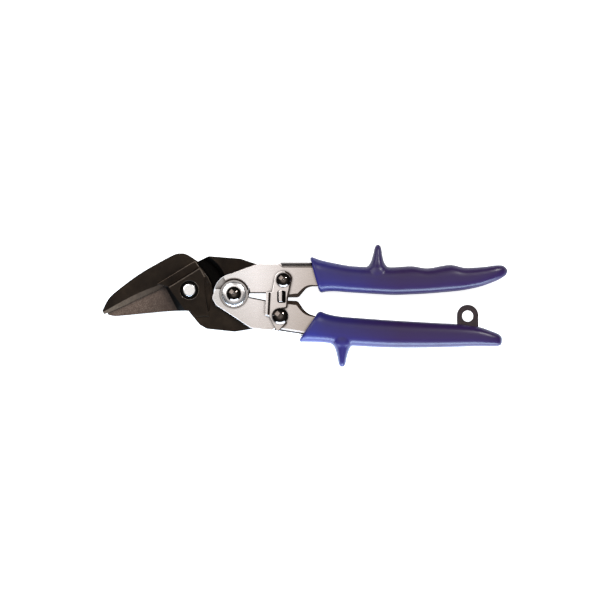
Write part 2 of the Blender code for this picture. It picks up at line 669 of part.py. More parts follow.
def tang_sets():
    """Bolts and nuts that join each tang to its handle."""
    bolt("upper_tang_bolt", UPPER_TANG_PIVOT, -BOLT_END, LATCH_HIGH + GAP, DOME_RADIUS, 2.4)
    nut("upper_tang_nut", UPPER_TANG_PIVOT, -EAR_OUTER - GAP, 9.0, BOLT_HOLE_RADIUS)
    pin = turned("lower_tang_bolt", LOWER_TANG_PIVOT, [
        (0, -BOLT_END), (BOLT_RADIUS - 0.3, -BOLT_END), (BOLT_RADIUS, -NUT_END),
        (BOLT_RADIUS, EAR_OUTER - 0.3), (BOLT_RADIUS - 0.3, EAR_OUTER), (0, EAR_OUTER),
    ])
    finish(pin, BRIGHT)
    nut("lower_tang_nut", LOWER_TANG_PIVOT, -EAR_OUTER - GAP, 9.0, BOLT_HOLE_RADIUS)


# ---------------------------------------------------------------- return spring

WIRE_RADIUS = 0.55
COIL_RADIUS = 4.9
COIL_TURNS = 2.5
COIL_HALF_HEIGHT = 1.3
WIRE_SECTION_POINTS = 8
COIL_STEPS_PER_TURN = 18
LOWER_LEG_END = (43.5, -9.8)
UPPER_LEG_END = (43.0, 1.7)


def spring_centreline():
    """Wire's path: lower leg, coil round the sleeve, upper leg."""
    steps = int(COIL_TURNS * COIL_STEPS_PER_TURN)
    coil = []
    for k in range(steps + 1):
        angle = -math.pi / 2 - math.tau * COIL_TURNS * k / steps
        height = -COIL_HALF_HEIGHT + 2 * COIL_HALF_HEIGHT * k / steps
        spoke = Vector((math.cos(angle), math.sin(angle))) * COIL_RADIUS
        coil.append(Vector((*(HANDLE_PIVOT + spoke), height)))
    lower_leg = Vector((*LOWER_LEG_END, -COIL_HALF_HEIGHT))
    upper_leg = Vector((*UPPER_LEG_END, COIL_HALF_HEIGHT))
    return [lower_leg] + coil + [upper_leg]


def return_spring():
    """Torsion spring that opens the handles, its legs bearing on the two tangs."""
    line = spring_centreline()
    layers = []
    for i, point in enumerate(line):
        run = (line[min(i + 1, len(line) - 1)] - line[max(i - 1, 0)]).normalized()
        side = run.cross(Vector((0, 0, 1))).normalized()
        rise = side.cross(run)
        ring = []
        for k in range(WIRE_SECTION_POINTS):
            angle = math.tau * k / WIRE_SECTION_POINTS
            ring.append(tuple(point + WIRE_RADIUS * (side * math.cos(angle) + rise * math.sin(angle))))
        layers.append(ring)
    return finish(loft("return_spring", layers), SPRING_STEEL)


def clear_scene():
    """Start from an empty scene."""
    for thing in list(bpy.data.objects):
        bpy.data.objects.remove(thing)


def build():
    """Model every piece of the snips."""
    clear_scene()
    upper_blade()
    lower_blade()
    blade_pivot_set()
    upper_handle_frame()
    lower_handle_frame()
    handle_pivot_set()
    return_spring()
    tang_sets()
    latch_plate()
    latch_button()
    upper_grip()
    lower_grip()
    hang_tab()


build()
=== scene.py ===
"""Looks of the offset aviation snips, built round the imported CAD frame.

Every visible piece is rebuilt here as a fine mesh in the place its CAD node holds, with
rounded edges and a procedural material. Working lengths are millimetres, and heights are
measured from the shear plane between the blades.
"""

import json
import math

import bmesh
import bpy
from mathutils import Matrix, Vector

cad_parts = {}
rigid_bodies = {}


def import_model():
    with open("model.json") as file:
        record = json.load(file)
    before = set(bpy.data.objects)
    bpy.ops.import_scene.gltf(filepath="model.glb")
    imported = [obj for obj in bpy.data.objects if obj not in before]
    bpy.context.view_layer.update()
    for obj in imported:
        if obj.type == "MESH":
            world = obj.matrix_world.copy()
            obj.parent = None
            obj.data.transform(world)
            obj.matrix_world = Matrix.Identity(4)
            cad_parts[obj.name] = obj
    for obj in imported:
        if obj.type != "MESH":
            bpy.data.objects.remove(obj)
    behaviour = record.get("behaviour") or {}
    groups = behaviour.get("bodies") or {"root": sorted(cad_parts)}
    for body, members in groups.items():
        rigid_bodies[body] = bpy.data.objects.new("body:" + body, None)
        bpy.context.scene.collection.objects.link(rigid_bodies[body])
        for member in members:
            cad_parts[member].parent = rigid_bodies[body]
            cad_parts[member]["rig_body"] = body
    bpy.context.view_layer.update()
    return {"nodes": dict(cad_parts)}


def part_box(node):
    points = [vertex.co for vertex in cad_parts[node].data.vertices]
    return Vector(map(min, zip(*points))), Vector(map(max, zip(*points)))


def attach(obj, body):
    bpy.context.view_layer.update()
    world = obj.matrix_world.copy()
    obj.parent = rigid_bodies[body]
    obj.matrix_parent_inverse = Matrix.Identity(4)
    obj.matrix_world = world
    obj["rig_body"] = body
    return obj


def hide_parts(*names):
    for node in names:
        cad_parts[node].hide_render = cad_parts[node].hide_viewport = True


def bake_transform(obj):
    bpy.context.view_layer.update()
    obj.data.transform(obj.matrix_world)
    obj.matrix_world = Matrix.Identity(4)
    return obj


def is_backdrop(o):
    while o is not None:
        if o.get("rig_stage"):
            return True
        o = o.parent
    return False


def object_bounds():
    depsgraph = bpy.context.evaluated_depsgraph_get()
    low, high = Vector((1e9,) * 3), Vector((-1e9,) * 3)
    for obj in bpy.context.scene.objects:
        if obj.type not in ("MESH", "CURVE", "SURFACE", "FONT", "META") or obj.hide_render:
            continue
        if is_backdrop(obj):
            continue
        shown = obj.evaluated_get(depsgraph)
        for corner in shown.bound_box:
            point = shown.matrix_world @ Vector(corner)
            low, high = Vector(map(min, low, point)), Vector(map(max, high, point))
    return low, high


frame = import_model()

MM = 0.001
ARC_STEP = math.radians(7.0)
ROUND_SEGMENTS = 72
EDGE_STEPS = 5
BEND_FROM = 3.0


def middle(node):
    """Centre of a CAD node's box, in millimetres."""
    low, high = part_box(node)
    return (low + high) / 2 / MM


SHEAR = middle("lower_handle_frame").z
BLADE_PIVOT = middle("blade_pivot_bolt").xy
HANDLE_PIVOT = middle("handle_pivot_bolt").xy
UPPER_TANG = middle("upper_tang_bolt").xy
LOWER_TANG = middle("lower_tang_bolt").xy
BUTTON = middle("latch_button").xy


def level(node, end):
    """Height of a CAD node's lowest (0) or highest (1) point above the shear plane."""
    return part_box(node)[end].z / MM - SHEAR


def ends(node):
    """Heights of a CAD node's lowest and highest points above the shear plane."""
    return level(node, 0), level(node, 1)


# ---------- outlines

def polar(centre, radius, angles):
    """Points on a circle at each angle."""
    return [(centre[0] + radius * math.cos(a), centre[1] + radius * math.sin(a)) for a in angles]


def arc(centre, radius, start, end):
    """Points on a circle from start to end, in degrees."""
    sweep = math.radians(end - start)
    steps = max(2, math.ceil(abs(sweep) / ARC_STEP))
    return polar(centre, radius, [math.radians(start) + sweep * k / steps for k in range(steps + 1)])


def circle(centre, radius, segments=ROUND_SEGMENTS):
    """Closed circular outline."""
    return polar(centre, radius, [math.tau * k / segments for k in range(segments)])


def rounded(corners):
    """Closed outline from (x, y) points and (x, y, radius) corners, whose radius becomes an arc."""
    outline = []
    for i, corner in enumerate(corners):
        here = Vector(corner[:2])
        if len(corner) == 2:
            outline.append(tuple(here))
            continue
        radius = corner[2]
        back = (Vector(corners[i - 1][:2]) - here).normalized()
        ahead = (Vector(corners[(i + 1) % len(corners)][:2]) - here).normalized()
        half = back.angle(ahead) / 2
        centre = here + (back + ahead).normalized() * radius / math.sin(half)
        spoke = here + back * radius / math.tan(half) - centre
        sweep = math.pi - 2 * half
        if back.x * ahead.y - back.y * ahead.x > 0:
            sweep = -sweep
        steps = max(2, math.ceil(abs(sweep) / ARC_STEP))
        for k in range(steps + 1):
            turn = sweep * k / steps
            outline.append((
                centre.x + spoke.x * math.cos(turn) - spoke.y * math.sin(turn),
                centre.y + spoke.x * math.sin(turn) + spoke.y * math.cos(turn),
            ))
    return outline


def spline(points, per_span):
    """Open curve through points of any dimension (Catmull-Rom)."""
    padded = [points[0]] + list(points) + [points[-1]]
    curve = []
    for i in range(1, len(padded) - 2):
        a, b, c, d = padded[i - 1:i + 3]
        for k in range(per_span):
            t = k / per_span
            curve.append(tuple(
                0.5 * (2 * q + (r - p) * t + (2 * p - 5 * q + 4 * r - s) * t * t
                       + (3 * q - p - 3 * r + s) * t ** 3)
                for p, q, r, s in zip(a, b, c, d)
            ))
    curve.append(tuple(points[-1]))
    return curve


def turning(outline):
    """Signed area of a closed outline: positive when it runs anticlockwise."""
    return sum(a[0] * b[1] - b[0] * a[1] for a, b in zip(outline, outline[1:] + outline[:1])) / 2


def inset(outline, distances):
    """Closed outline moved inwards, by one distance for each point."""
    sign = 1.0 if turning(outline) > 0 else -1.0
    moved = []
    count = len(outline)
    for i, point in enumerate(outline):
        here = Vector(point)
        before = (here - Vector(outline[i - 1])).normalized()
        after = (Vector(outline[(i + 1) % count]) - here).normalized()
        left_before = Vector((-before.y, before.x)) * sign
        left_after = Vector((-after.y, after.x)) * sign
        mitre = left_before + left_after
        reach = 1.0 / max(0.6, mitre.length_squared / 2)
        moved.append(tuple(here + mitre * reach * distances[i]))
    return moved


# ---------- meshes

def stand(name, data):
    """Scene object for a mesh, light or camera."""
    thing = bpy.data.objects.new(name, data)
    bpy.context.scene.collection.objects.link(thing)
    return thing


def as_mesh(name, shell):
    """Mesh from a bmesh, which is then freed."""
    mesh = bpy.data.meshes.new(name)
    shell.to_mesh(mesh)
    shell.free()
    return mesh


def add_piece(name, shell):
    """Scene object from a closed bmesh in millimetres above the shear plane."""
    bmesh.ops.recalc_face_normals(shell, faces=shell.faces)
    bmesh.ops.translate(shell, vec=(0.0, 0.0, SHEAR), verts=shell.verts)
    bmesh.ops.scale(shell, vec=(MM, MM, MM), verts=shell.verts)
    return stand(name, as_mesh(name, shell))


def loft(name, layers):
    """Solid whose side runs through equal-length closed loops of (x, y, z), capped at both ends."""
    shell = bmesh.new()
    rings = [[shell.verts.new(point) for point in layer] for layer in layers]
    count = len(layers[0])
    for low, high in zip(rings, rings[1:]):
        for i in range(count):
            shell.faces.new((low[i], low[(i + 1) % count], high[(i + 1) % count], high[i]))
    shell.faces.new(rings[0])
    shell.faces.new(rings[-1])
    return add_piece(name, shell)


def at_height(outline, z):
    """Flat outline lifted to a height."""
    return [(x, y, z) for x, y in outline]


def rim_profile(radius):
    """Inset and drop from the flat face at each step of a rim: a broken edge, or a full bend."""
    if radius > BEND_FROM:
        angles = [math.pi / 2 * step / EDGE_STEPS for step in range(EDGE_STEPS + 1)]
        return [(radius * (1 - math.cos(a)), radius * (1 - math.sin(a))) for a in angles]
    angles = [math.pi / 4 * (1 + step / EDGE_STEPS) for step in range(EDGE_STEPS + 1)]
    reach = radius / math.cos(math.pi / 4)
    return [(radius - reach * math.cos(a), reach * (1 - math.sin(a))) for a in angles]


def slab(name, outline, low, high, edge=0.0):
    """Straight-sided solid with broken or bent rims; edge is one width, or one for each point."""
    edges = list(edge) if isinstance(edge, (list, tuple)) else [edge] * len(outline)
    if not any(edges):
        return loft(name, [at_height(outline, low), at_height(outline, high)])
    low, high = min(low, high), max(low, high)
    rims = [rim_profile(radius) for radius in edges]
    layers = []
    for top in (False, True):
        for step in range(EDGE_STEPS + 1):
            k = step if top else EDGE_STEPS - step
            moved = inset(outline, [rim[k][0] for rim in rims])
            layers.append([
                (x, y, high - rim[k][1] if top else low + rim[k][1]) for (x, y), rim in zip(moved, rims)
            ])
    return loft(name, layers)


def turned(name, centre, profile, segments=ROUND_SEGMENTS):
    """Turned solid from (radius, z) points that run round its section; radius 0 is the axis."""
    shell = bmesh.new()
    rings = []
    for radius, z in profile:
        if radius == 0:
            rings.append([shell.verts.new((centre[0], centre[1], z))])
        else:
            rings.append([shell.verts.new((x, y, z)) for x, y in circle(centre, radius, segments)])
    pairs = list(zip(rings, rings[1:]))
    if all(radius > 0 for radius, _ in profile):
        pairs.append((rings[-1], rings[0]))
    for low, high in pairs:
        for i in range(segments):
            j = (i + 1) % segments
            corners = [low[i % len(low)], low[j % len(low)], high[j % len(high)], high[i % len(high)]]
            shell.faces.new(list(dict.fromkeys(corners)))
    return add_piece(name, shell)


def bake(piece):
    """Apply a piece's modifiers."""
    evaluated = piece.evaluated_get(bpy.context.evaluated_depsgraph_get())
    result = bpy.data.meshes.new_from_object(evaluated)
    piece.modifiers.clear()
    piece.data = result


def combine(piece, tool, operation):
    """Boolean of a piece with a tool, which is then removed."""
    modifier = piece.modifiers.new(operation.lower(), "BOOLEAN")
    modifier.operation = operation
    modifier.solver = "EXACT"
    modifier.object = tool
    bake(piece)
    bpy.data.objects.remove(tool)


def cut(piece, *tools):
    """Remove each tool's volume from a piece."""
    for tool in tools:
        combine(piece, tool, "DIFFERENCE")


def weld(piece, *others):
    """Merge other solids into a piece."""
    for other in others:
        combine(piece, other, "UNION")


def drill(piece, centre, radius, low=-20.0, high=20.0):
    """Round hole along Z."""
    cut(piece, slab("drill", circle(centre, radius), low, high))


def place(piece, node, materials, smooth_angle=32.0):
    """Let a piece stand for its CAD node, with its body, materials and smoothing."""
    mesh = piece.data
    mesh.name = piece.name
    zones = [face.material_index for face in mesh.polygons]
    mesh.materials.clear()
    for finish in materials:
        mesh.materials.append(finish)
    mesh.polygons.foreach_set("material_index", zones)
    mesh.shade_smooth()
    mesh.set_sharp_from_angle(angle=math.radians(smooth_angle))
    flatten = piece.modifiers.new("normals", "WEIGHTED_NORMAL")
    flatten.keep_sharp = True
    bake(piece)
    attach(piece, frame["nodes"][node]["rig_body"])
    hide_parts(node)
    return piece


def paint_zone(piece, index, test):
    """Give a material slot to the faces whose centre (mm) and normal pass a test."""
    for face in piece.data.polygons:
        x, y, z = face.center / MM
        if test(x, y, z - SHEAR, face.normal):
            face.material_index = index


# ---------- materials

class Nodes:
    """Short way to write the node graph of a material or of the world."""

    def __init__(self, owner, shader, coordinates):
        owner.use_nodes = True
        self.owner = owner
        self.tree = owner.node_tree
        self.shader = self.tree.nodes[shader]
        self.place = self.add("ShaderNodeTexCoord").outputs[coordinates]

    def add(self, kind, **settings):
        node = self.tree.nodes.new(kind)
        for key, value in settings.items():
            setattr(node, key, value)
        return node

    def link(self, source, target):
        self.tree.links.new(source, target)

    def feed(self, socket, value):
        """Link a socket, or set it to a colour or a number."""
        if isinstance(value, bpy.types.NodeSocket):
            self.link(value, socket)
        else:
            socket.default_value = (*value, 1.0) if isinstance(value, tuple) else value

    def noise(self, scale, detail=4.0, roughness=0.55, stretch=None):
        """Noise in object space; scale is in features for each metre."""
        node = self.add("ShaderNodeTexNoise")
        node.inputs["Scale"].default_value = scale
        node.inputs["Detail"].default_value = detail
        node.inputs["Roughness"].default_value = roughness
        source = self.place
        if stretch:
            mapping = self.add("ShaderNodeMapping")
            mapping.inputs["Scale"].default_value = stretch
            self.link(source, mapping.inputs["Vector"])
            source = mapping.outputs["Vector"]
        self.link(source, node.inputs["Vector"])
        return node.outputs["Fac"]

    def ramp(self, source, *stops):
        """Colour ramp from (position, colour) stops."""
        node = self.add("ShaderNodeValToRGB")
        elements = node.color_ramp.elements
        while len(elements) < len(stops):
            elements.new(0.5)
        for element, (position, colour) in zip(elements, stops):
            element.position = position
            shade = colour if isinstance(colour, tuple) else (colour,) * 3
            element.color = (*shade, 1.0)
        self.link(source, node.inputs["Fac"])
        return node.outputs["Color"]

    def span(self, source, low, high, new_low=0.0, new_high=1.0):
        """Value moved from one range to another, clamped."""
        node = self.add("ShaderNodeMapRange")
        for name, value in (("From Min", low), ("From Max", high), ("To Min", new_low), ("To Max", new_high)):
            node.inputs[name].default_value = value
        self.link(source, node.inputs["Value"])
        return node.outputs["Result"]

    def axis(self, letter):
        """One coordinate of the point, in metres."""
        node = self.add("ShaderNodeSeparateXYZ")
        self.link(self.place, node.inputs["Vector"])
        return node.outputs[letter]

    def mix(self, factor, first, second, blend="MIX"):
        """Blend of two colours; factor, first and second may be sockets or values."""
        node = self.add("ShaderNodeMix", data_type="RGBA", blend_type=blend)
        sockets = (node.inputs[0], node.inputs[6], node.inputs[7])
        for socket, value in zip(sockets, (factor, first, second)):
            self.feed(socket, value)
        return node.outputs[2]

    def edges(self, radius, low=0.02, high=0.25):
        """Mask of the strips beside sharp or tightly rounded edges, radius in metres."""
        geometry = self.add("ShaderNodeNewGeometry")
        bevel = self.add("ShaderNodeBevel", samples=6)
        bevel.inputs["Radius"].default_value = radius
        facing = self.add("ShaderNodeVectorMath", operation="DOT_PRODUCT")
        self.link(bevel.outputs["Normal"], facing.inputs[0])
        self.link(geometry.outputs["Normal"], facing.inputs[1])
        return self.span(facing.outputs["Value"], 1.0 - low, 1.0 - high)

    def painted_crevice_shade(self, distance, low=0.3, high=0.85):
        """Mask of the corners and gaps that lie within a distance of other surfaces, where painted shade is
        laid.
        """
        occlusion = self.add("ShaderNodeAmbientOcclusion", samples=8)
        occlusion.inputs["Distance"].default_value = distance
        return self.span(occlusion.outputs["AO"], high, low)

    def bump(self, height, strength, distance):
        node = self.add("ShaderNodeBump")
        node.inputs["Strength"].default_value = strength
        node.inputs["Distance"].default_value = distance
        self.link(height, node.inputs["Height"])
        self.link(node.outputs["Normal"], self.shader.inputs["Normal"])

    def set(self, **values):
        """Set or link the shader's inputs, named with underscores."""
        for key, value in values.items():
            self.feed(self.shader.inputs[key.replace("_", " ")], value)


def material(name):
    """New material, as a node graph in object space."""
    return Nodes(bpy.data.materials.new(name), "Principled BSDF", "Object")


def forged_material():
    """Black-brown oxide on forged steel: mottled, slightly grainy, with a painted highlight along its edges
    and painted shade in its corners.
    """
    n = material("forged_black")
    blotches = n.noise(70.0, 5.0, 0.6)
    grain = n.noise(2600.0, 3.0, 0.7)
    tone = n.ramp(blotches, (0.32, (0.0075, 0.0045, 0.0028)), (0.55, (0.0145, 0.0090, 0.0054)),
                  (0.75, (0.0250, 0.0160, 0.0095)))
    tone = n.mix(0.10, tone, n.ramp(grain, (0.45, 0.0), (0.8, 0.05)), "ADD")
    # Painted highlight: strips beside edges lightened to brown.
    tone = n.mix(n.span(n.edges(0.0005), 0.0, 1.0, 0.0, 0.5), tone, (0.060, 0.041, 0.028))
    # Painted shade: corners and gaps darkened to near black.
    tone = n.mix(n.painted_crevice_shade(0.003), tone, (0.001, 0.0008, 0.0007))
    n.set(Base_Color=tone, Specular_IOR_Level=0.05, Roughness=n.span(blotches, 0.3, 0.75, 0.36, 0.52))
    n.bump(n.mix(0.6, n.noise(420.0, 4.0), grain), 0.35, 0.00012)
    return n.owner


def grained(name, noise, dark, light, rough, bump, **shine):
    """Material whose one noise drives its colour between two stops, its roughness and its bump."""
    n = material(name)
    grain = n.noise(*noise)
    if isinstance(rough, tuple):
        rough = n.span(grain, *rough)
    n.set(Base_Color=n.ramp(grain, dark, light), Roughness=rough, **shine)
    n.bump(grain, *bump)
    return n.owner


def ground_material():
    """Olive-brown ground bevel, with fine grinding lines across the edge."""
    n = material("ground_bevel")
    lines = n.noise(900.0, 3.0, 0.6, stretch=(1.0, 0.12, 1.0))
    wash = n.noise(160.0, 3.0)
    tone = n.ramp(wash, (0.3, (0.052, 0.033, 0.021)), (0.7, (0.084, 0.056, 0.038)))
    tone = n.mix(0.35, tone, n.ramp(lines, (0.3, (0.024, 0.016, 0.010)), (0.7, (0.10, 0.068, 0.045))))
    tone = n.mix(n.span(n.axis("X"), -0.040, -0.016), tone, (0.022, 0.013, 0.008))
    n.set(Base_Color=tone, Specular_IOR_Level=0.02, Roughness=n.span(lines, 0.3, 0.7, 0.45, 0.60))
    n.bump(lines, 0.3, 0.00006)
    return n.owner


def shear_face_material():
    """Brown shear face of the far blade: granular, darker towards the pivot, with painted shade towards its
    cutting edge where the near blade lies close.
    """
    n = material("shear_face")
    grain = n.noise(1500.0, 5.0, 0.75)
    wash = n.noise(90.0, 3.0)
    tone = n.ramp(wash, (0.3, (0.060, 0.036, 0.026)), (0.75, (0.155, 0.100, 0.074)))
    speck = n.ramp(grain, (0.34, (0.022, 0.014, 0.010)), (0.52, (0.10, 0.070, 0.052)),
                   (0.72, (0.30, 0.23, 0.185)))
    tone = n.mix(0.5, tone, speck)
    tone = n.mix(n.span(n.axis("X"), -0.030, -0.008, 0.0, 0.85), tone, (0.020, 0.012, 0.009))
    # Painted shade: darkened near the near blade and other surfaces.
    tone = n.mix(n.painted_crevice_shade(0.004), tone, (0.004, 0.003, 0.0025))
    n.set(Base_Color=tone, Specular_IOR_Level=0.1, Roughness=0.55)
    n.bump(grain, 0.5, 0.0001)
    return n.owner


def nickel_material(name, shade):
    """Satin nickel plate: warm, softly cloudy, with fine rolling lines; painted light makes it brightest near
    the middle of its length, darker at its ends and towards the lower handle; painted shade darkens its
    corners, and shade darkens it.
    """
    n = material(name)
    clouds = n.noise(45.0, 3.0)
    lines = n.noise(1800.0, 2.0, 0.5, stretch=(0.08, 1.0, 1.0))
    # Painted light and shade: brightest near the middle of its length, darker at both ends, most at the
    # right.
    along = n.span(n.axis("X"), 0.015, 0.078)
    tone = n.ramp(along, (0.0, (0.74, 0.72, 0.71)), (0.40, (0.99, 0.93, 0.915)), (1.0, (0.50, 0.42, 0.37)))
    tone = n.mix(n.span(clouds, 0.3, 0.7, 0.0, 0.16), tone, (0.80, 0.735, 0.70))
    # Painted shade: darker towards the lower handle.
    tone = n.mix(n.span(n.axis("Y"), 0.008, -0.026, 0.0, 0.45), tone, (0.42, 0.35, 0.30))
    tone = n.mix(shade, tone, (0.060, 0.046, 0.038))
    # Painted shade: corners and gaps darkened.
    tone = n.mix(n.painted_crevice_shade(0.0026), tone, (0.045, 0.034, 0.028))
    n.set(Base_Color=tone, Metallic=1.0, Roughness=n.span(lines, 0.3, 0.7, 0.24, 0.30))
    n.bump(clouds, 0.02, 0.00002)
    return n.owner


def vinyl_material():
    """Dipped blue vinyl: blue to violet, softly glossy, with a faint orange-peel skin."""
    n = material("blue_vinyl")
    drift = n.noise(28.0, 2.0)
    peel = n.noise(900.0, 2.0)
    along = n.span(n.axis("X"), 0.066, 0.125)
    shift = n.mix(n.span(drift, 0.35, 0.65, 0.0, 0.45), along, (1.0, 1.0, 1.0))
    tone = n.mix(shift, (0.020, 0.026, 0.185), (0.024, 0.010, 0.058))
    # Painted shade: corners and gaps darkened.
    tone = n.mix(n.painted_crevice_shade(0.002), tone, (0.006, 0.004, 0.02))
    n.set(Base_Color=tone, Roughness=n.span(peel, 0.3, 0.7, 0.30, 0.38), Specular_IOR_Level=0.34)
    n.bump(n.mix(0.5, peel, n.noise(150.0, 3.0)), 0.12, 0.0002)
    return n.owner


def tab_material():
    """Dark coated steel of the hanging tab."""
    n = material("dark_steel")
    skin = n.noise(700.0, 4.0, 0.6)
    tone = n.ramp(skin, (0.3, (0.016, 0.008, 0.010)), (0.7, (0.034, 0.018, 0.022)))
    tone = n.mix(n.span(n.edges(0.0004), 0.0, 1.0, 0.0, 0.5), tone, (0.13, 0.09, 0.10))
    n.set(Base_Color=tone, Metallic=0.3, Roughness=n.span(skin, 0.3, 0.7, 0.38, 0.52))
    n.bump(skin, 0.25, 0.00008)
    return n.owner


FORGED = forged_material()
# Near-black painted shade for the forging's hollows and dark-facing slopes and for the latch window's floor,
# and a brown painted highlight for the forging's lit edges.
PAINTED_SHADE = grained("painted_black_shade", (1400.0, 3.0, 0.7), (0.4, (0.0008, 0.0006, 0.0005)),
                (0.8, (0.004, 0.0028, 0.0020)), 0.6, (0.3, 0.00008), Specular_IOR_Level=0.03)
PAINTED_HIGHLIGHT = grained("painted_edge_highlight", (900.0, 4.0, 0.7), (0.35, (0.035, 0.024, 0.016)),
               (0.7, (0.12, 0.085, 0.060)), 0.4, (0.2, 0.00005), Specular_IOR_Level=0.25)
GROUND = ground_material()
SHEAR_FACE = shear_face_material()
NICKEL = nickel_material("satin_nickel", 0.0)
# Copies of the nickel darkened by painted shade, for shaded faces.
NICKEL_SHADED = nickel_material("satin_nickel_shaded", 0.8)
NICKEL_DIM = nickel_material("satin_nickel_dim", 0.5)
# Dark brown painted shadow for sheet rims, grooves and the bend's dark line, and the brushed outside of the
# channel's bend.
PAINTED_SHADOW = grained("painted_shadow_edge", (800.0, 3.0, 0.6), (0.3, (0.014, 0.009, 0.006)),
                  (0.7, (0.042, 0.028, 0.021)), 0.8, (0.1, 0.00003), Specular_IOR_Level=0.0)
BRUSHED = grained("brushed_bend", (1500.0, 2.0, 0.5, (0.08, 1.0, 1.0)), (0.3, (0.66, 0.58, 0.54)),
                  (0.7, (0.80, 0.72, 0.68)), (0.3, 0.7, 0.5, 0.62), (0.02, 0.00002), Metallic=0.25)
# Polished chrome, the domed heads' chrome with a near-black tone painted in for the dark surroundings it
# reflects (painted reflection), and drawn spring steel.
CHROME = grained("bright_chrome", (900.0, 4.0, 0.65), (0.3, (0.90, 0.88, 0.87)),
                 (0.7, (0.98, 0.97, 0.96)), (0.35, 0.7, 0.10, 0.18), (0.08, 0.00004), Metallic=1.0)
DOME = grained("chrome_with_painted_dark_reflection", (1100.0, 4.0, 0.65), (0.3, (0.085, 0.068, 0.060)),
               (0.7, (0.15, 0.125, 0.11)), (0.35, 0.7, 0.05, 0.11), (0.10, 0.00004), Metallic=1.0)
WIRE = grained("spring_wire", (1400.0, 3.0, 0.6), (0.3, (0.28, 0.27, 0.26)),
               (0.7, (0.48, 0.46, 0.44)), (0.3, 0.7, 0.22, 0.38), (0.15, 0.00004), Metallic=1.0)
VINYL = vinyl_material()
TAB = tab_material()


# ---------- blades

SHEAR_GAP = 0.15
LEAF_TOP = 3.8
BOSS_TOP = level("upper_blade", 1)
TANG_TOP = 4.2
BLADE_BACK = [
    (-51.9, -12.5), (-48.0, -5.0), (-41.9, 0.6), (-30.3, 9.2), (-18.6, 16.1),
    (-9.0, 21.1), (-5.2, 21.8), (-1.5, 21.2), (5.0, 17.1),
]
UPPER_EDGE = [(-51.2, -13.7), (-49.9, -14.1), (-39.5, -9.6), (-29.0, -4.6), (-18.6, 0.2), (-14.8, 2.9)]
GRIND_TOP = [(-51.0, -12.8), (-49.9, -12.3), (-39.4, -6.4), (-29.0, -1.2), (-19.4, 2.5), (-16.4, 4.6)]
LOWER_BELLY = [(-48.3, -14.8), (-44.0, -15.5), (-35.3, -14.8), (-22.8, -13.6), (-10.2, -12.5), (-0.7, -12.3)]
LOWER_EDGE = [(-49.4, -12.9), (-39.4, -7.4), (-29.0, -2.4), (-18.6, 2.4), (-12.0, 6.6)]
LOWER_GRIND = [(-48.6, -14.0), (-39.4, -10.2), (-29.0, -5.6), (-18.6, -1.0), (-11.0, 3.6)]
EDGE_LAND = 1.0
LEAF_ROUND = 1.3
BELLY_ROUND = 1.1
CLEAR_RADIUS = 12.3
WAIST_RADIUS = 10.7
RAMP_FOOT = 20.0
RAMP_RIDGE = 23.1
EYE_RADIUS = 5.5
BOLT_HOLE = 2.8
BLADE_BOLT_HOLE = 4.2
COUNTERBORE = 5.5
COUNTERBORE_MOUTH = 5.9
COUNTERBORE_LIP = 5.45
COUNTERBORE_FLOOR = 1.7
COUNTERBORE_CHAMFER = 5.05
ABOVE = 9.0


def on_strip(edge, grind, i, climb):
    """Point of a leaf's ground strip, climb of the way from its cutting edge to its upper line."""
    x = edge[i][0] + (grind[i][0] - edge[i][0]) * climb
    y = edge[i][1] + (grind[i][1] - edge[i][1]) * climb
    return x, y, EDGE_LAND + (LEAF_TOP - EDGE_LAND) * climb


def upper_leaf():
    """Leaf of the near blade."""
    back = spline(BLADE_BACK, 6)[::-1]
    edge = spline(UPPER_EDGE, 3)
    grind = spline(GRIND_TOP, 3)
    root = [(-8.0, 5.0), (5.0, 13.0)]
    outline = edge + root + back
    layers = [at_height(outline, SHEAR_GAP)]
    radii = [0.0] * (len(edge) + len(root)) + [LEAF_ROUND] * len(back)
    for step in range(EDGE_STEPS + 1):
        angle = math.pi / 2 * step / EDGE_STEPS
        moved = inset(outline, [r * (1 - math.cos(angle)) for r in radii])
        climb = step / EDGE_STEPS
        layer = []
        for i, (x, y) in enumerate(moved):
            if i < len(edge):
                x, y, z = on_strip(edge, grind, i, climb)
            else:
                z = LEAF_TOP - LEAF_ROUND * (1 - math.sin(angle))
            layer.append((x, y, z))
        layers.append(layer)
    return loft("leaf", layers)


def upper_boss():
    """Raised boss round the blade pivot, with a steep ramp on its lower left."""
    foot = rounded([
        (-15.0, 3.2), (-7.0, -12.0), (-0.5, -12.4), (3.0, -16.2), (12.4, -17.0),
        (11.6, -7.0), (11.2, 0.0), (11.4, 7.6), (7.4, 13.2), (6.4, 13.4),
    ])
    crown = rounded([
        (-12.3, 1.7), (-2.6, -12.1), (-0.3, -12.1), (3.1, -15.8), (11.4, -15.4),
        (9.9, -7.1), (8.7, 0.1), (9.3, 7.8), (6.8, 12.6), (6.0, 13.0),
    ])
    crest = inset(crown, [0.55] * len(crown))
    return loft("boss", [
        at_height(foot, SHEAR_GAP), at_height(crown, BOSS_TOP - 0.3), at_height(crest, BOSS_TOP),
    ])


def sweep_cone(low, low_radius, high, high_radius):
    """Cone that clears the other blade's sweep."""
    return loft("sweep", [
        at_height(circle(BLADE_PIVOT, low_radius, 120), low),
        at_height(circle(BLADE_PIVOT, high_radius, 120), high),
    ])


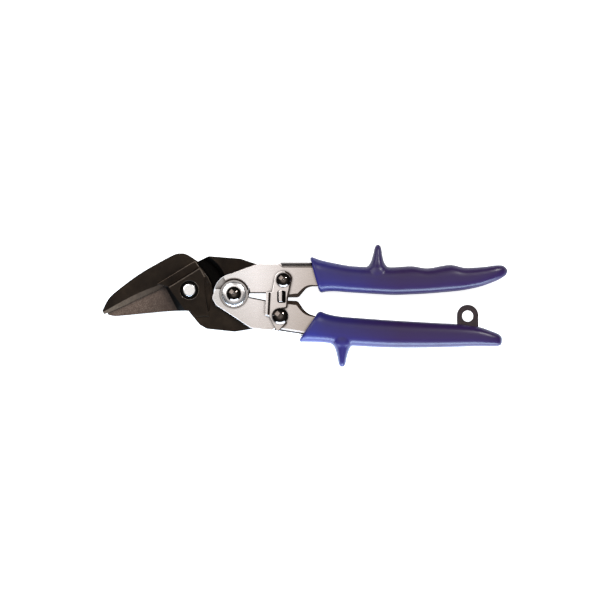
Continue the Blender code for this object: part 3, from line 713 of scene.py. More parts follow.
def upper_blade():
    """Near blade with its boss, counterbore and tang."""
    eye = arc(LOWER_TANG, EYE_RADIUS, -110.0, 120.0)
    waist = (
        arc(HANDLE_PIVOT, CLEAR_RADIUS, -48.0, -80.0)
        + arc(HANDLE_PIVOT, WAIST_RADIUS, -96.0, -143.0)
        + arc(HANDLE_PIVOT, CLEAR_RADIUS, -158.0, -182.0)
    )
    outline = rounded([
        (-0.5, -12.4), (6.2, -20.6, 3.0), (10.4, -23.0, 4.0), (27.0, -24.75, 8.0), (37.7, -23.05, 6.0),
        (46.0, -20.4, 6.0), *eye, *waist, (13.0, 3.5), (10.8, 8.0), (6.4, 13.4), (-4.0, 6.0), (-6.0, -4.0),
        (-3.0, -12.2),
    ])
    blade = slab("upper_blade_forging", outline, -TANG_TOP, TANG_TOP, 0.5)
    cut(blade, sweep_cone(-TANG_TOP - 1.0, RAMP_RIDGE + 0.6, SHEAR_GAP, RAMP_FOOT))
    step = rounded([(-19.4, 3.4), (-12.0, 1.9), (6.1, 13.4), (3.6, 17.4), (-0.4, 15.2)])
    crest = inset(step, [0.45] * len(step))
    step_plate = loft("step", [
        at_height(step, SHEAR_GAP), at_height(step, LEAF_TOP + 0.25), at_height(crest, LEAF_TOP + 0.5),
    ])
    weld(blade, upper_leaf(), step_plate, upper_boss())
    dent = loft("dent", [
        at_height(stretched(circle((11.0, -4.5), 1.0), 1.2, 8.8), 3.75),
        at_height(stretched(circle((11.0, -4.5), 1.0), 2.6, 10.6), 4.9),
    ])
    cut(blade, dent)
    drill(blade, BLADE_PIVOT, BLADE_BOLT_HOLE)
    cut(blade, turned("counterbore", BLADE_PIVOT, [
        (0, COUNTERBORE_FLOOR), (COUNTERBORE, COUNTERBORE_FLOOR), (COUNTERBORE, COUNTERBORE_CHAMFER),
        (COUNTERBORE_MOUTH, 5.5), (COUNTERBORE_MOUTH, ABOVE), (0, ABOVE),
    ]))
    drill(blade, LOWER_TANG, BOLT_HOLE)
    strip = GRIND_TOP + UPPER_EDGE[::-1]
    paint_zone(blade, 1, lambda x, y, z, n: 0.25 < n.z < 0.97 and z < LEAF_TOP and inside((x, y), strip, 0.3))
    # Painted shade: the ramp's lower-left slope made near black.
    paint_zone(blade, 2, lambda x, y, z, n: n.x < -0.3 and SHEAR_GAP < z < BOSS_TOP - 0.35
               and -15.5 < x < -1.0 and y < 2.5)
    # Painted highlight: upward-facing step and boss edges, and the right side of the counterbore's lip.
    paint_zone(blade, 3, lambda x, y, z, n: 0.2 < n.z < 0.97 and z > LEAF_TOP + 0.2
               and (n.y > 0.2 or (COUNTERBORE_LIP < math.hypot(x, y) < COUNTERBORE_LIP + 0.5 and x > 3.0)))
    place(blade, "upper_blade", [FORGED, GROUND, PAINTED_SHADE, PAINTED_HIGHLIGHT])


def stretched(outline, width, height):
    """Outline scaled about its middle to half sizes width and height."""
    cx = sum(x for x, _ in outline) / len(outline)
    cy = sum(y for _, y in outline) / len(outline)
    return [(cx + (x - cx) * width, cy + (y - cy) * height) for x, y in outline]


def inside(point, polygon, margin=0.0):
    """Whether a point lies in a polygon, or within a margin of its sides."""
    x, y = point
    hit = False
    near = False
    for a, b in zip(polygon, polygon[1:] + polygon[:1]):
        if (a[1] > y) != (b[1] > y) and x < (b[0] - a[0]) * (y - a[1]) / (b[1] - a[1]) + a[0]:
            hit = not hit
        run = Vector(b) - Vector(a)
        t = max(0.0, min(1.0, (Vector(point) - Vector(a)).dot(run) / run.length_squared))
        near = near or (Vector(point) - Vector(a) - run * t).length < margin
    return hit or near


def lower_leaf():
    """Leaf of the far blade, ground on its far side."""
    belly = spline(LOWER_BELLY, 4)
    edge = spline(LOWER_EDGE, 4)[::-1]
    grind = spline(LOWER_GRIND, 4)[::-1]
    root = [(4.0, -6.0), (2.0, 6.0), (-6.0, 8.0)]
    outline = belly + root + edge
    radii = [BELLY_ROUND] * len(belly) + [0.0] * (len(root) + len(edge))
    layers = [at_height(outline, -SHEAR_GAP)]
    for step in range(EDGE_STEPS + 1):
        angle = math.pi / 2 * step / EDGE_STEPS
        climb = step / EDGE_STEPS
        layer = []
        for i, (x, y) in enumerate(inset(outline, [r * (1 - math.cos(angle)) for r in radii])):
            z = -(LEAF_TOP - BELLY_ROUND * (1 - math.sin(angle)))
            k = i - len(belly) - len(root)
            if k >= 0:
                x, y, z = on_strip(edge, grind, k, climb)
                z = -z
            layer.append((x, y, z))
        layers.append(layer)
    return loft("far_leaf", layers)


def lower_blade():
    """Far blade with its ramp, tang and far boss."""
    eye = arc(UPPER_TANG, EYE_RADIUS, 110.0, -120.0)
    waist = arc(HANDLE_PIVOT, CLEAR_RADIUS, 38.0, 182.0)
    outline = rounded([
        (5.0, 17.1), (11.5, 20.2, 3.0), (30.3, 18.7, 8.0), (40.2, 15.4, 8.0), (48.0, 11.6, 6.0),
        *eye, *waist, (12.4, -7.4), (8.0, -11.6), (-0.7, -12.3), (-8.0, -12.4), (-11.0, -4.0), (-10.0, 7.4),
        (-3.0, 14.6),
    ])
    blade = slab("lower_blade_forging", outline, -TANG_TOP, TANG_TOP, 0.5)
    cut(blade, sweep_cone(-SHEAR_GAP, RAMP_FOOT, TANG_TOP + 1.0, RAMP_RIDGE + 0.6))
    boss = turned("far_boss", BLADE_PIVOT, [
        (0, -1.0), (11.2, -1.0), (11.2, -BOSS_TOP + 0.6), (10.9, -BOSS_TOP + 0.15), (10.4, -BOSS_TOP),
        (0, -BOSS_TOP),
    ])
    weld(blade, lower_leaf(), boss)
    drill(blade, BLADE_PIVOT, BLADE_BOLT_HOLE)
    drill(blade, UPPER_TANG, BOLT_HOLE)
    paint_zone(blade, 1, lambda x, y, z, n: n.z > 0.9 and z < 0.0 and x < 4.0)
    # Painted shade: the recessed tang and hub faces right of the pivot made near black.
    paint_zone(blade, 3, lambda x, y, z, n: n.z > 0.2 and z < TANG_TOP - 0.6 and x >= 4.0)
    paint_zone(blade, 2, lambda x, y, z, n: -0.97 < n.z < -0.25 and -LEAF_TOP < z < -EDGE_LAND and x < -10.0
               and inside((x, y), LOWER_GRIND + LOWER_EDGE[::-1], 0.3))
    place(blade, "lower_blade", [FORGED, SHEAR_FACE, GROUND, PAINTED_SHADE])


# ---------- handles

EAR_IN = 4.5
EAR_OUT = level("lower_handle_frame", 1)
LOBE_IN = 2.2
LOBE_OUT = 4.2
SHEET = 2.0
RIM = 0.4
# Throat rims are widened to carry painted shadow.
THROAT_RIM = 2.6
THROAT_RIM_THIN = 0.7
THROAT_START = 62.5
THROAT_LENGTH = 12.0
BEND = 3.2
SLEEVE_HOLE = 3.9


def throat_rim(x):
    """Rim width along the throat, whose rim carries painted shadow: widest at its narrow end."""
    if x < THROAT_START:
        return THROAT_RIM_THIN
    reach = max(0.0, 1.0 - (x - THROAT_START) / THROAT_LENGTH)
    return THROAT_RIM_THIN + (THROAT_RIM - THROAT_RIM_THIN) * reach


def frame_edges(outline, on_spine, on_throat):
    """Rim width of each outline point: a bend along the spine, a wide rim in the throat."""
    return [BEND if on_spine(x, y) else throat_rim(x) if on_throat(x, y) else RIM for x, y in outline]


def on_rim(z, normal):
    """Whether a face belongs to the near ear's outer rim."""
    return 0.5 < normal.z < 0.998 and EAR_OUT - 1.2 < z < EAR_OUT - 0.001


def upper_frame():
    """Upper channel: ears dished inwards round the handle pivot."""
    seat = arc(HANDLE_PIVOT, 9.0, 2.0, -196.0)
    nose = arc(HANDLE_PIVOT, 11.9, 164.0, 107.0)
    outline = rounded([
        (53.0, 15.4), (54.2, 16.5), (56.0, 16.5), (72.4, 16.5), (84.0, 13.2), (98.0, 11.6), (150.0, 9.6),
        (150.0, 2.0), (76.2, 2.2), (70.4, 2.2, 7.0), (65.0, -4.4, 2.7), (50.0, -4.4, 1.5), (46.6, -1.9, 1.5),
        (36.6, -1.9), *seat, *nose, (30.7, 12.0, 20.0), (40.2, 15.4, 6.0),
    ])
    stock = slab("upper_handle_channel", outline, -EAR_OUT, EAR_OUT,
                 frame_edges(outline, lambda x, y: x > 54.0 and y > 9.0, lambda x, y: x > 36.0 and y < 2.3))
    inside_line = [
        (53.4, 30.0), (53.4, 16.5 - SHEET), (72.0, 16.5 - SHEET), (84.0, 13.2 - SHEET), (98.0, 11.6 - SHEET),
        (151.0, 9.5 - SHEET), (151.0, -20.0),
    ]
    bay = inside_line + [(32.0, -20.0)] + arc(HANDLE_PIVOT, 11.0, -60.0, 112.0) + [(20.0, 12.0), (20.0, 30.0)]
    sector = arc(HANDLE_PIVOT, 14.0, 122.0, 200.0) + arc(HANDLE_PIVOT, 7.0, 200.0, 122.0)
    cut(stock, slab("slot", inside_line + [(5.0, -20.0), (5.0, 30.0)], -LOBE_IN, LOBE_IN))
    for side in (-1, 1):
        dish = turned("dish", HANDLE_PIVOT, [
            (0, side * LOBE_OUT), (9.0, side * LOBE_OUT), (9.05, side * 5.6), (9.2, side * 6.1),
            (9.5, side * 6.38), (9.9, side * 6.52), (9.9, side * 8.0), (0, side * 8.0),
        ])
        cut(stock, slab("bay", bay, side * (LOBE_IN - 0.1), side * EAR_IN), dish,
            slab("nose_step", sector, side * LOBE_OUT, side * (EAR_OUT + 1.0)))
    drill(stock, HANDLE_PIVOT, SLEEVE_HOLE)
    drill(stock, UPPER_TANG, BOLT_HOLE)
    # Painted shade on the spine's upward faces.
    paint_zone(stock, 1, lambda x, y, z, n: n.y > 0.12 and n.z > -0.2 and x > 53.7 and y > 12.0)
    # Painted shade on the lobes in the dish.
    paint_zone(stock, 2, lambda x, y, z, n: n.z > 0.5 and abs(z - LOBE_OUT) < 0.2 and x < 30.0)
    paint_zone(stock, 4, lambda x, y, z, n: on_rim(z, n) and x < 54.0)
    # Painted shadow on the throat's rims.
    paint_zone(stock, 3, lambda x, y, z, n: on_rim(z, n) and x > 35.6 and y < 4.0)
    place(stock, "upper_handle_frame", [NICKEL, NICKEL_SHADED, NICKEL_DIM, PAINTED_SHADOW, BRUSHED])


def lower_frame():
    """Lower channel: flat ears over the upper handle's dished ones."""
    crest = arc(HANDLE_PIVOT, 8.7, -11.0, 158.0)
    outline = rounded([
        *crest, (15.9, 1.2, 0.9), (13.4, -4.6, 3.0), (16.0, -9.0, 2.5), (27.5, -16.5), (36.6, -22.6, 5.0),
        (48.9, -24.0), (50.0, -24.9), (52.0, -25.2), (67.6, -27.6), (96.0, -30.4), (150.0, -31.4),
        (150.0, -22.6), (84.0, -17.9), (75.3, -15.6), (69.4, -13.6, 10.0), (64.4, -6.4, 2.7),
        (45.3, -6.0, 2.0), (36.6, -4.3),
    ])
    stock = slab("lower_handle_channel", outline, -EAR_OUT, EAR_OUT,
                 frame_edges(outline, lambda x, y: x > 49.5 and y < -24.5,
                             lambda x, y: x > 36.0 and -19.0 < y < -3.5))
    cavity = [
        (49.6, -40.0), (49.6, -24.9 + SHEET), (67.6, -27.6 + SHEET), (96.0, -30.4 + SHEET),
        (151.0, -31.4 + SHEET), (151.0, 20.0), (5.0, 20.0), (5.0, -40.0),
    ]
    cut(stock, slab("inside", cavity, -EAR_IN, EAR_IN))
    drill(stock, HANDLE_PIVOT, BOLT_HOLE)
    drill(stock, LOWER_TANG, BOLT_HOLE)
    paint_zone(stock, 2, lambda x, y, z, n: on_rim(z, n))
    # Painted shadow on the throat's rims and the rims above the pivot.
    paint_zone(stock, 1, lambda x, y, z, n: on_rim(z, n) and (x > 35.0 and y > -19.0 or y > 0.0))
    paint_zone(stock, 2, lambda x, y, z, n: n.z > -0.2 and n.y < -0.05 and y < -20.0 and x > 49.0)
    # Painted shade: a dark line along the bend.
    paint_zone(stock, 1, lambda x, y, z, n: 0.85 < n.z < 0.93 and y < -20.0 and x > 49.0)
    place(stock, "lower_handle_frame", [NICKEL, PAINTED_SHADOW, BRUSHED])


# ---------- latch

LATCH_LOW = level("latch_plate", 0)
LATCH_HIGH = LATCH_LOW + 1.5
LATCH_RIM = 0.35
# The wider right-side rims carry the latch's painted shadow.
LATCH_SIDE_RIM = 1.0
BUTTON_HOLE = 1.6


def latch():
    """Hooked latch plate with thumb flange and lanced tongue."""
    eye = arc(UPPER_TANG, 5.4, 10.0, 170.0)
    outline = rounded([
        *eye, (49.3, -1.0), (46.6, -1.2, 0.6), (45.9, -14.8, 0.6), (47.6, -15.8, 1.0), (52.3, -25.0, 0.9),
        (58.9, -19.2, 1.2), (56.6, -17.8, 1.2), (55.0, -18.6), (51.4, -15.4, 1.5), (55.4, -11.2, 1.0),
        (58.4, -10.6, 1.2), (58.8, -4.6, 3.0),
    ])
    plate = slab("latch_hook", outline, LATCH_LOW, LATCH_HIGH,
                 [LATCH_SIDE_RIM if x > (57.5 if y > 0.0 else 55.0) else LATCH_RIM for x, y in outline])
    flange = rounded([(45.7, -1.2, 0.5), (47.3, -1.2, 0.5), (46.6, -15.0, 0.5), (45.0, -15.0, 0.5)])
    weld(plate, slab("flange", flange, LATCH_LOW + 0.1, level("latch_plate", 1), 0.25))
    window = rounded([(52.2, 0.1, 1.5), (52.2, -7.6, 1.5), (57.4, -7.6, 0.8), (57.4, -0.6, 0.8)])
    cut(plate, slab("window", window, LATCH_LOW + 0.3, LATCH_HIGH + 1.0))
    # Shallow groove right of the flange, its floor painted as the flange's shadow.
    flange_shadow_groove = [(47.2, -1.5), (48.5, -1.5), (47.8, -14.6), (46.5, -14.6)]
    cut(plate, slab("flange_shadow_groove", flange_shadow_groove, LATCH_HIGH - 0.35, LATCH_HIGH + 0.5))
    tongue = rounded([(53.1, -0.6, 0.9), (53.1, -6.9, 0.9), (55.2, -6.9, 0.5), (55.2, 0.8, 0.5)])
    weld(plate, slab("tongue", tongue, LATCH_LOW + 0.2, LATCH_HIGH + 0.4, 0.4))
    drill(plate, UPPER_TANG, BOLT_HOLE)
    drill(plate, BUTTON, BUTTON_HOLE)
    # Painted shade: the window's floor made near black.
    paint_zone(plate, 1, lambda x, y, z, n: n.z > 0.9 and z < LATCH_LOW + 0.5)
    # Painted shadow on the right-side rims and in the groove.
    paint_zone(plate, 2, lambda x, y, z, n: LATCH_LOW + 0.6 < z < LATCH_HIGH - 0.001 and (
        0.5 < n.z < 0.998 and n.x > 0.02 and x > 52.5 or n.z > 0.99 and 46.0 < x < 49.0))
    place(plate, "latch_plate", [NICKEL, PAINTED_SHADE, PAINTED_SHADOW])


# ---------- fasteners

NUT_FLATS = 9.0
HEAD_RADIUS = 4.35

def dome(radius, base, height, steps=14):
    """Half profile of a spherical head with a small centre dimple, from its rim to the axis."""
    rim = 0.4
    cap = height - rim
    sphere = (radius * radius + cap * cap) / (2 * cap)
    widest = math.asin(radius / sphere)
    points = [(radius - 0.12, base), (radius, base + 0.12)]
    for k in range(steps):
        angle = widest * (1 - k / steps)
        points.append((sphere * math.sin(angle), base + height - sphere * (1 - math.cos(angle))))
    points += [(0.25, base + height - 0.10), (0, base + height - 0.12)]
    return points


def nut(node, centre, across_flats, bore):
    """Hexagon nut with turned chamfers."""
    low, high = ends(node)
    body = slab(node + "_hex", circle(centre, across_flats / math.sqrt(3.0), 6), low, high)
    reach = across_flats / math.sqrt(3.0)
    flat = across_flats / 2
    cone = turned("chamfer", centre, [
        (flat - 0.2, low - 0.1), (flat - 0.2, low), (reach + 0.2, low + 0.55), (reach + 3.0, low + 0.55),
        (reach + 3.0, low - 0.1),
    ])
    cut(body, cone)
    cut(body, turned("bore", centre, [
        (0, low - 1.0), (bore + 0.35, low - 1.0), (bore + 0.35, low), (bore, low + 0.35), (bore, high + 1.0),
        (0, high + 1.0),
    ]))
    place(body, node, [CHROME], 20.0)


def washer(node, centre, inner, outer):
    """Flat washer with rounded outer rims."""
    low, high = ends(node)
    rim = 0.22
    quarter = [math.pi / 2 * k / 3 for k in range(4)]
    profile = [(inner, low)]
    profile += [(outer - rim + rim * math.sin(a), low + rim - rim * math.cos(a)) for a in quarter]
    profile += [(outer - rim + rim * math.cos(a), high - rim + rim * math.sin(a)) for a in quarter]
    profile.append((inner, high))
    ring = turned(node + "_ring", centre, profile)
    # Painted shadow on the rims, and painted shade on the whole washer.
    paint_zone(ring, 1, lambda x, y, z, n: n.z < 0.97)
    place(ring, node, [NICKEL_DIM, PAINTED_SHADOW])


def blade_pivot_set():
    """Blade pivot: flush polished end, far washer and nut."""
    low, high = ends("blade_pivot_bolt")
    body = turned("blade_pivot_bolt_shank", BLADE_PIVOT, [
        (0, low), (3.3, low), (3.8, low + 0.5), (3.8, 2.0), (5.2, 2.0), (5.2, 3.05), (5.05, 3.2), (3.8, 3.2),
        (3.8, high - 0.55), (3.72, high - 0.25), (3.45, high - 0.06), (2.9, high), (0, high),
    ])
    paint_zone(body, 1, lambda x, y, z, n: z < high - 0.6)
    place(body, "blade_pivot_bolt", [CHROME, FORGED])
    washer("blade_pivot_washer", BLADE_PIVOT, 4.1, 7.6)
    nut("blade_pivot_nut", BLADE_PIVOT, 12.0, 4.1)


def domed_bolt(node, centre, radius, height):
    """Dome-headed bolt along Z."""
    low, high = ends(node)
    body = turned(node + "_dome", centre, [
        (0, low), (2.1, low), (2.5, low + 0.4), (2.5, high - height), *dome(radius, high - height, height),
    ])
    place(body, node, [DOME])


def handle_pivot_set():
    """Handle pivot: dome, coned collar, washer, sleeve and nut."""
    domed_bolt("handle_pivot_bolt", HANDLE_PIVOT, HEAD_RADIUS, 2.3)
    washer("handle_pivot_washer", HANDLE_PIVOT, BOLT_HOLE, 8.4)
    base = level("handle_pivot_collar", 0)
    collar = turned("handle_pivot_cone", HANDLE_PIVOT, [
        (2.8, base), (7.05, base), (7.2, base + 0.15), (7.18, base + 0.3), (7.0, base + 0.5),
        (6.6, base + 0.72), (5.6, base + 1.08), (5.1, base + 1.24), (4.8, base + 1.3), (2.8, base + 1.3),
    ])
    place(collar, "handle_pivot_collar", [NICKEL])
    low, high = ends("handle_pivot_sleeve")
    sleeve = turned("handle_pivot_bush", HANDLE_PIVOT, [
        (2.8, low), (3.45, low), (3.6, low + 0.15), (3.6, high - 0.15), (3.45, high), (2.8, high),
    ])
    place(sleeve, "handle_pivot_sleeve", [WIRE])
    nut("handle_pivot_nut", HANDLE_PIVOT, NUT_FLATS, BOLT_HOLE)


def tang_sets():
    """Tang bolts, nuts and the latch's domed head."""
    domed_bolt("upper_tang_bolt", UPPER_TANG, HEAD_RADIUS, 2.4)
    nut("upper_tang_nut", UPPER_TANG, NUT_FLATS, BOLT_HOLE)
    low, high = ends("lower_tang_bolt")
    pin = turned("lower_tang_pin", LOWER_TANG, [
        (0, low), (2.1, low), (2.5, low + 0.4), (2.5, high - 0.3), (2.2, high), (0, high),
    ])
    place(pin, "lower_tang_bolt", [CHROME])
    nut("lower_tang_nut", LOWER_TANG, NUT_FLATS, BOLT_HOLE)
    low, high = ends("latch_button")
    button = turned("latch_dome", BUTTON, [
        (0, low), (1.3, low), (1.3, high - 2.6), *dome(4.9, high - 2.6, 2.6),
    ])
    place(button, "latch_button", [DOME])


# ---------- return spring

def return_spring():
    """Torsion spring: lower leg, coil round the sleeve, upper leg."""
    half = 1.3
    turns = 2.5
    steps = 90
    line = [Vector((43.5, -9.8, -half)), Vector((34.0, -8.3, -half))]
    for k in range(steps + 1):
        angle = -math.pi / 2 - math.tau * turns * k / steps
        line.append(Vector((
            HANDLE_PIVOT.x + 4.9 * math.cos(angle), HANDLE_PIVOT.y + 4.9 * math.sin(angle),
            -half + 2 * half * k / steps,
        )))
    line += [Vector((34.0, 2.2, half)), Vector((43.0, 1.7, half))]
    layers = []
    for i, point in enumerate(line):
        run = (line[min(i + 1, len(line) - 1)] - line[max(i - 1, 0)]).normalized()
        side = run.cross(Vector((0, 0, 1))).normalized()
        rise = side.cross(run)
        layers.append([
            tuple(point + 0.55 * (side * math.cos(a) + rise * math.sin(a)))
            for a in (math.tau * k / 12 for k in range(12))
        ])
    spring = loft("return_spring_coil", layers)
    spring.data.materials.append(WIRE)
    spring.data.shade_smooth()
    spring.data.set_sharp_from_angle(angle=math.radians(60.0))
    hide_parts("return_spring")
    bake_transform(spring)


# ---------- grips

UPPER_GRIP_STATIONS = [
    (72.2, 20.1, 78.4, -1.8, 9.2), (74.2, 19.4, 79.8, -1.3, 9.1), (78.0, 18.0, 82.0, -0.9, 8.9),
    (86.0, 16.2, 87.0, -0.8, 8.8),
    (94.8, 14.6, 95.0, -1.4, 8.8), (106.0, 13.8, 106.0, -2.1, 8.8), (121.0, 13.7, 121.0, -2.9, 8.8),
    (132.3, 14.3, 132.0, -2.6, 8.7), (141.9, 13.1, 142.0, -2.1, 8.6), (155.0, 15.1, 154.0, -1.1, 8.3),
    (164.0, 13.4, 163.0, -0.1, 7.8), (175.0, 13.9, 173.0, 2.0, 7.0), (183.0, 14.9, 181.0, 4.8, 6.0),
    (187.2, 14.4, 185.6, 6.9, 4.6), (189.4, 12.0, 188.8, 9.2, 2.2),
]
LOWER_GRIP_STATIONS = [
    (77.8, -12.2, 65.2, -31.0, 9.2), (80.0, -13.4, 67.6, -30.9, 9.1), (83.0, -14.4, 72.0, -30.9, 8.9),
    (88.0, -15.4, 80.5, -31.3, 8.8),
    (94.8, -16.1, 90.0, -32.6, 8.8), (108.0, -17.1, 106.0, -33.7, 8.8), (121.0, -18.0, 121.0, -34.3, 8.8),
    (140.0, -19.1, 140.0, -34.3, 8.6), (159.0, -20.2, 158.0, -33.9, 8.2), (172.0, -21.8, 170.0, -33.5, 7.6),
    (180.6, -24.6, 178.6, -33.5, 6.6), (184.6, -26.4, 184.0, -33.4, 5.0), (186.2, -28.4, 185.9, -32.3, 2.8),
]
# Stop stations from root to tip: height across the handle, left and right ends, half thickness.
UPPER_STOP = [
    (4.0, 104.0, 120.0, 7.0), (9.0, 104.2, 119.6, 8.6), (12.6, 104.8, 118.8, 8.4), (15.2, 107.1, 116.7, 7.4),
    (18.0, 108.4, 115.5, 6.6), (22.0, 109.5, 114.7, 5.8), (25.2, 110.2, 114.2, 4.9),
    (27.0, 111.2, 113.2, 3.2),
]
LOWER_STOP = [
    (-24.0, 84.5, 97.5, 7.0), (-28.5, 84.0, 98.2, 8.6), (-31.6, 84.4, 97.6, 8.4), (-34.0, 86.4, 95.8, 7.4),
    (-37.4, 87.5, 94.4, 6.6), (-41.4, 88.3, 93.4, 5.8), (-44.2, 88.9, 92.9, 4.8), (-45.7, 89.9, 91.9, 3.0),
]
STOP_SECTION_POINTS = 32
STOP_SQUARENESS = 2.3
SECTION_POINTS = 48
SQUARENESS = 2.7
LIP_START = 3
LIP_RINGS = ((0.82, 1.40), (0.90, 1.25), (0.96, 0.80), (0.99, 0.35))
VOXEL = 0.0005
SOFTEN_ROUNDS = 10
GRIP_GAP = 0.3
GRIP_SMOOTH = 50.0


def power(value, exponent):
    """Signed power, for rounded-square sections."""
    return math.copysign(abs(value) ** exponent, value)


def grip_sleeve(name, stations):
    """Sleeve lofted through rounded-square sections, with a rolled mouth and a closed round tail."""
    layers = []
    for top_x, top_y, low_x, low_y, half in spline(stations, 8):
        centre = Vector(((top_x + low_x) / 2, (top_y + low_y) / 2))
        reach = Vector((top_x, top_y)) - centre
        ring = []
        for k in range(SECTION_POINTS):
            angle = math.tau * (k + 0.5) / SECTION_POINTS
            point = centre + reach * power(math.sin(angle), 2 / SQUARENESS)
            ring.append((point.x, point.y, half * power(math.cos(angle), 2 / SQUARENESS)))
        layers.append(ring)
    first, second = layers[LIP_START], layers[LIP_START + 1]
    heart = sum((Vector(point) for point in first), Vector()) / len(first)
    ahead = (heart - sum((Vector(point) for point in second), Vector()) / len(second)).normalized()
    lips = [
        [tuple(heart + (Vector(point) - heart) * scale + ahead * reach) for point in first]
        for scale, reach in LIP_RINGS
    ]
    return loft(name, lips + layers[LIP_START:])


def soften(piece, extra, rounds):
    """Melt two overlapping solids into one even skin, as dipping does."""
    shell = bmesh.new()
    shell.from_mesh(piece.data)
    shell.from_mesh(extra.data)
    shell.to_mesh(piece.data)
    shell.free()
    bpy.data.objects.remove(extra)
    remesh = piece.modifiers.new("remesh", "REMESH")
    remesh.mode = "VOXEL"
    remesh.voxel_size = VOXEL
    bake(piece)
    smooth = piece.modifiers.new("smooth", "SMOOTH")
    smooth.factor = 0.5
    smooth.iterations = rounds
    bake(piece)


def grip_stop(stations):
    """Finger or thumb stop: a rounded fin that flares into the grip."""
    layers = []
    for height, left, right, half in spline(stations, 5):
        ring = []
        for k in range(STOP_SECTION_POINTS):
            angle = math.tau * k / STOP_SECTION_POINTS
            along = power(math.cos(angle), 2 / STOP_SQUARENESS) * (right - left) / 2
            ring.append((
                (left + right) / 2 + along, height, half * power(math.sin(angle), 2 / STOP_SQUARENESS),
            ))
        layers.append(ring)
    return loft("stop", layers)


def dipped_grip(name, stations, stop, pocket):
    """Vinyl grip with its stop, hollowed for the handle's end."""
    grip = grip_sleeve(name, stations)
    soften(grip, grip_stop(stop), SOFTEN_ROUNDS)
    cut(grip, slab("pocket", pocket, -EAR_OUT - GRIP_GAP, EAR_OUT + GRIP_GAP))
    return grip


def upper_grip():
    """Upper vinyl grip with its finger stop."""
    grip = dipped_grip("upper_grip_vinyl", UPPER_GRIP_STATIONS, UPPER_STOP, [
        (60.0, 16.8), (72.6, 16.8), (84.2, 13.5), (98.1, 11.9), (150.3, 9.9), (150.3, 1.7), (60.0, 1.9),
    ])
    place(grip, "upper_grip", [VINYL], GRIP_SMOOTH)


def lower_grip():
    """Lower vinyl grip with its thumb stop and the tab's slot."""
    grip = dipped_grip("lower_grip_vinyl", LOWER_GRIP_STATIONS, LOWER_STOP, [
        (60.0, -10.0), (75.4, -15.2), (84.0, -17.6), (150.3, -22.3), (150.3, -31.7), (96.0, -30.7),
        (67.4, -27.9), (55.0, -26.7),
    ])
    low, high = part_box("hang_tab")
    left, right, foot = low.x / MM - GRIP_GAP, high.x / MM + GRIP_GAP, low.y / MM - GRIP_GAP
    slot = [(left, 0.0), (right, 0.0), (right, foot), (left, foot)]
    bottom, top = ends("hang_tab")
    cut(grip, slab("tab_slot", slot, bottom - GRIP_GAP, top + GRIP_GAP))
    place(grip, "lower_grip", [VINYL], GRIP_SMOOTH)


def hang_tab():
    """Flat tab with rounded rims and a round hole."""
    low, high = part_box("hang_tab")
    left, right, foot, top = low.x / MM, high.x / MM, low.y / MM, high.y / MM
    radius = (right - left) / 2
    crown = (left + radius, top - radius)
    outline = arc(crown, radius, 0.0, 180.0) + [(left, foot), (right, foot)]
    tab = slab("hang_tab_plate", outline, *ends("hang_tab"), 0.35)
    cut(tab, slab("hole", circle((crown[0], crown[1] - 0.45), 3.35), -4.0, 4.0))
    place(tab, "hang_tab", [TAB])


# ---------- stage

VIEW_CENTRE = Vector((0.0658, -0.0059, 0.012))
VIEW_WIDTH = 0.357
CAMERA_HEIGHT = 2.0
SENSOR = 36.0
FLOOR_DROP = 0.0002


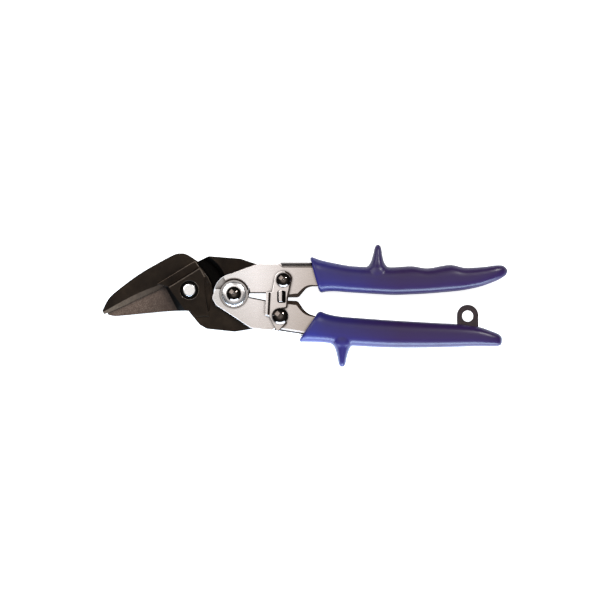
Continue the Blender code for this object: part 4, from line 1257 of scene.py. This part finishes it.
def floor():
    """Plain pale floor under the tool."""
    n = material("pale_floor")
    speck = n.noise(12.0, 2.0)
    path = n.add("ShaderNodeLightPath")
    # The floor glows; in glossy rays its near strip glows brighter and bluish, lighting the grips' lower
    # edges in reflection.
    card = n.span(n.axis("Y"), -0.022, -0.018, 2.0, 0.25)
    sheen = n.mix(path.outputs["Is Glossy Ray"], (0.4, 0.4, 0.4), card)
    glow = n.mix(path.outputs["Is Camera Ray"], sheen, (0.85, 0.85, 0.85))
    n.set(Base_Color=n.ramp(speck, (0.3, (0.86, 0.86, 0.86)), (0.7, (0.89, 0.89, 0.89))), Roughness=0.7,
          Emission_Color=n.mix(path.outputs["Is Glossy Ray"], (1.0, 1.0, 1.0), (0.62, 0.80, 1.0)),
          Emission_Strength=glow)
    shell = bmesh.new()
    bmesh.ops.create_grid(shell, x_segments=2, y_segments=2, size=3.0)
    ground = stand("floor", as_mesh("floor", shell))
    ground.location.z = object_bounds()[0][2] - FLOOR_DROP
    ground.data.materials.append(n.owner)
    ground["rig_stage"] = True


def softbox(name, place_at, size, watts, colour=(1.0, 1.0, 1.0)):
    """Rectangular area light aimed at the tool."""
    data = bpy.data.lights.new(name, "AREA")
    data.shape = "RECTANGLE"
    data.size, data.size_y = size
    data.energy = watts
    data.color = colour
    light = stand(name, data)
    light.location = place_at
    light.rotation_euler = (VIEW_CENTRE - Vector(place_at)).to_track_quat("-Z", "Y").to_euler()


def studio_world():
    """Overhead glow that fades to dark walls; the camera itself sees a pale backdrop."""
    world = bpy.data.worlds.new("studio")
    n = Nodes(world, "Background", "Generated")
    stops = ((0.0, 0.03), (0.45, 0.04), (0.80, 0.14), (0.96, 0.90))
    glow = n.ramp(n.axis("Z"), *((height, (v, v * 0.985, v * 0.97)) for height, v in stops))
    path = n.add("ShaderNodeLightPath")
    n.set(Color=n.mix(path.outputs["Is Camera Ray"], glow, (0.93, 0.93, 0.93)))
    bpy.context.scene.world = world


def lights():
    """Soft studio light: key from the upper left, window upper right, low strip on the near side."""
    softbox("key", (-0.45, 0.45, 0.80), (0.80, 0.80), 6.0)
    softbox("window", (0.62, 0.56, 0.85), (0.17, 0.14), 7.0)
    softbox("strip", (0.10, -0.80, 0.18), (1.2, 0.34), 26.0, (0.62, 0.80, 1.0))


def camera():
    """Long lens straight above the tool's near side."""
    data = bpy.data.cameras.new("camera")
    data.sensor_width = SENSOR
    data.lens = SENSOR * (CAMERA_HEIGHT - VIEW_CENTRE.z) / VIEW_WIDTH
    data.clip_end = 10.0
    view = stand("camera", data)
    view.location = (VIEW_CENTRE.x, VIEW_CENTRE.y, CAMERA_HEIGHT)
    bpy.context.scene.camera = view
    bpy.context.scene.view_settings.view_transform = "Standard"


upper_blade()
lower_blade()
blade_pivot_set()
upper_frame()
lower_frame()
handle_pivot_set()
tang_sets()
latch()
return_spring()
upper_grip()
lower_grip()
hang_tab()
floor()
studio_world()
lights()
camera()
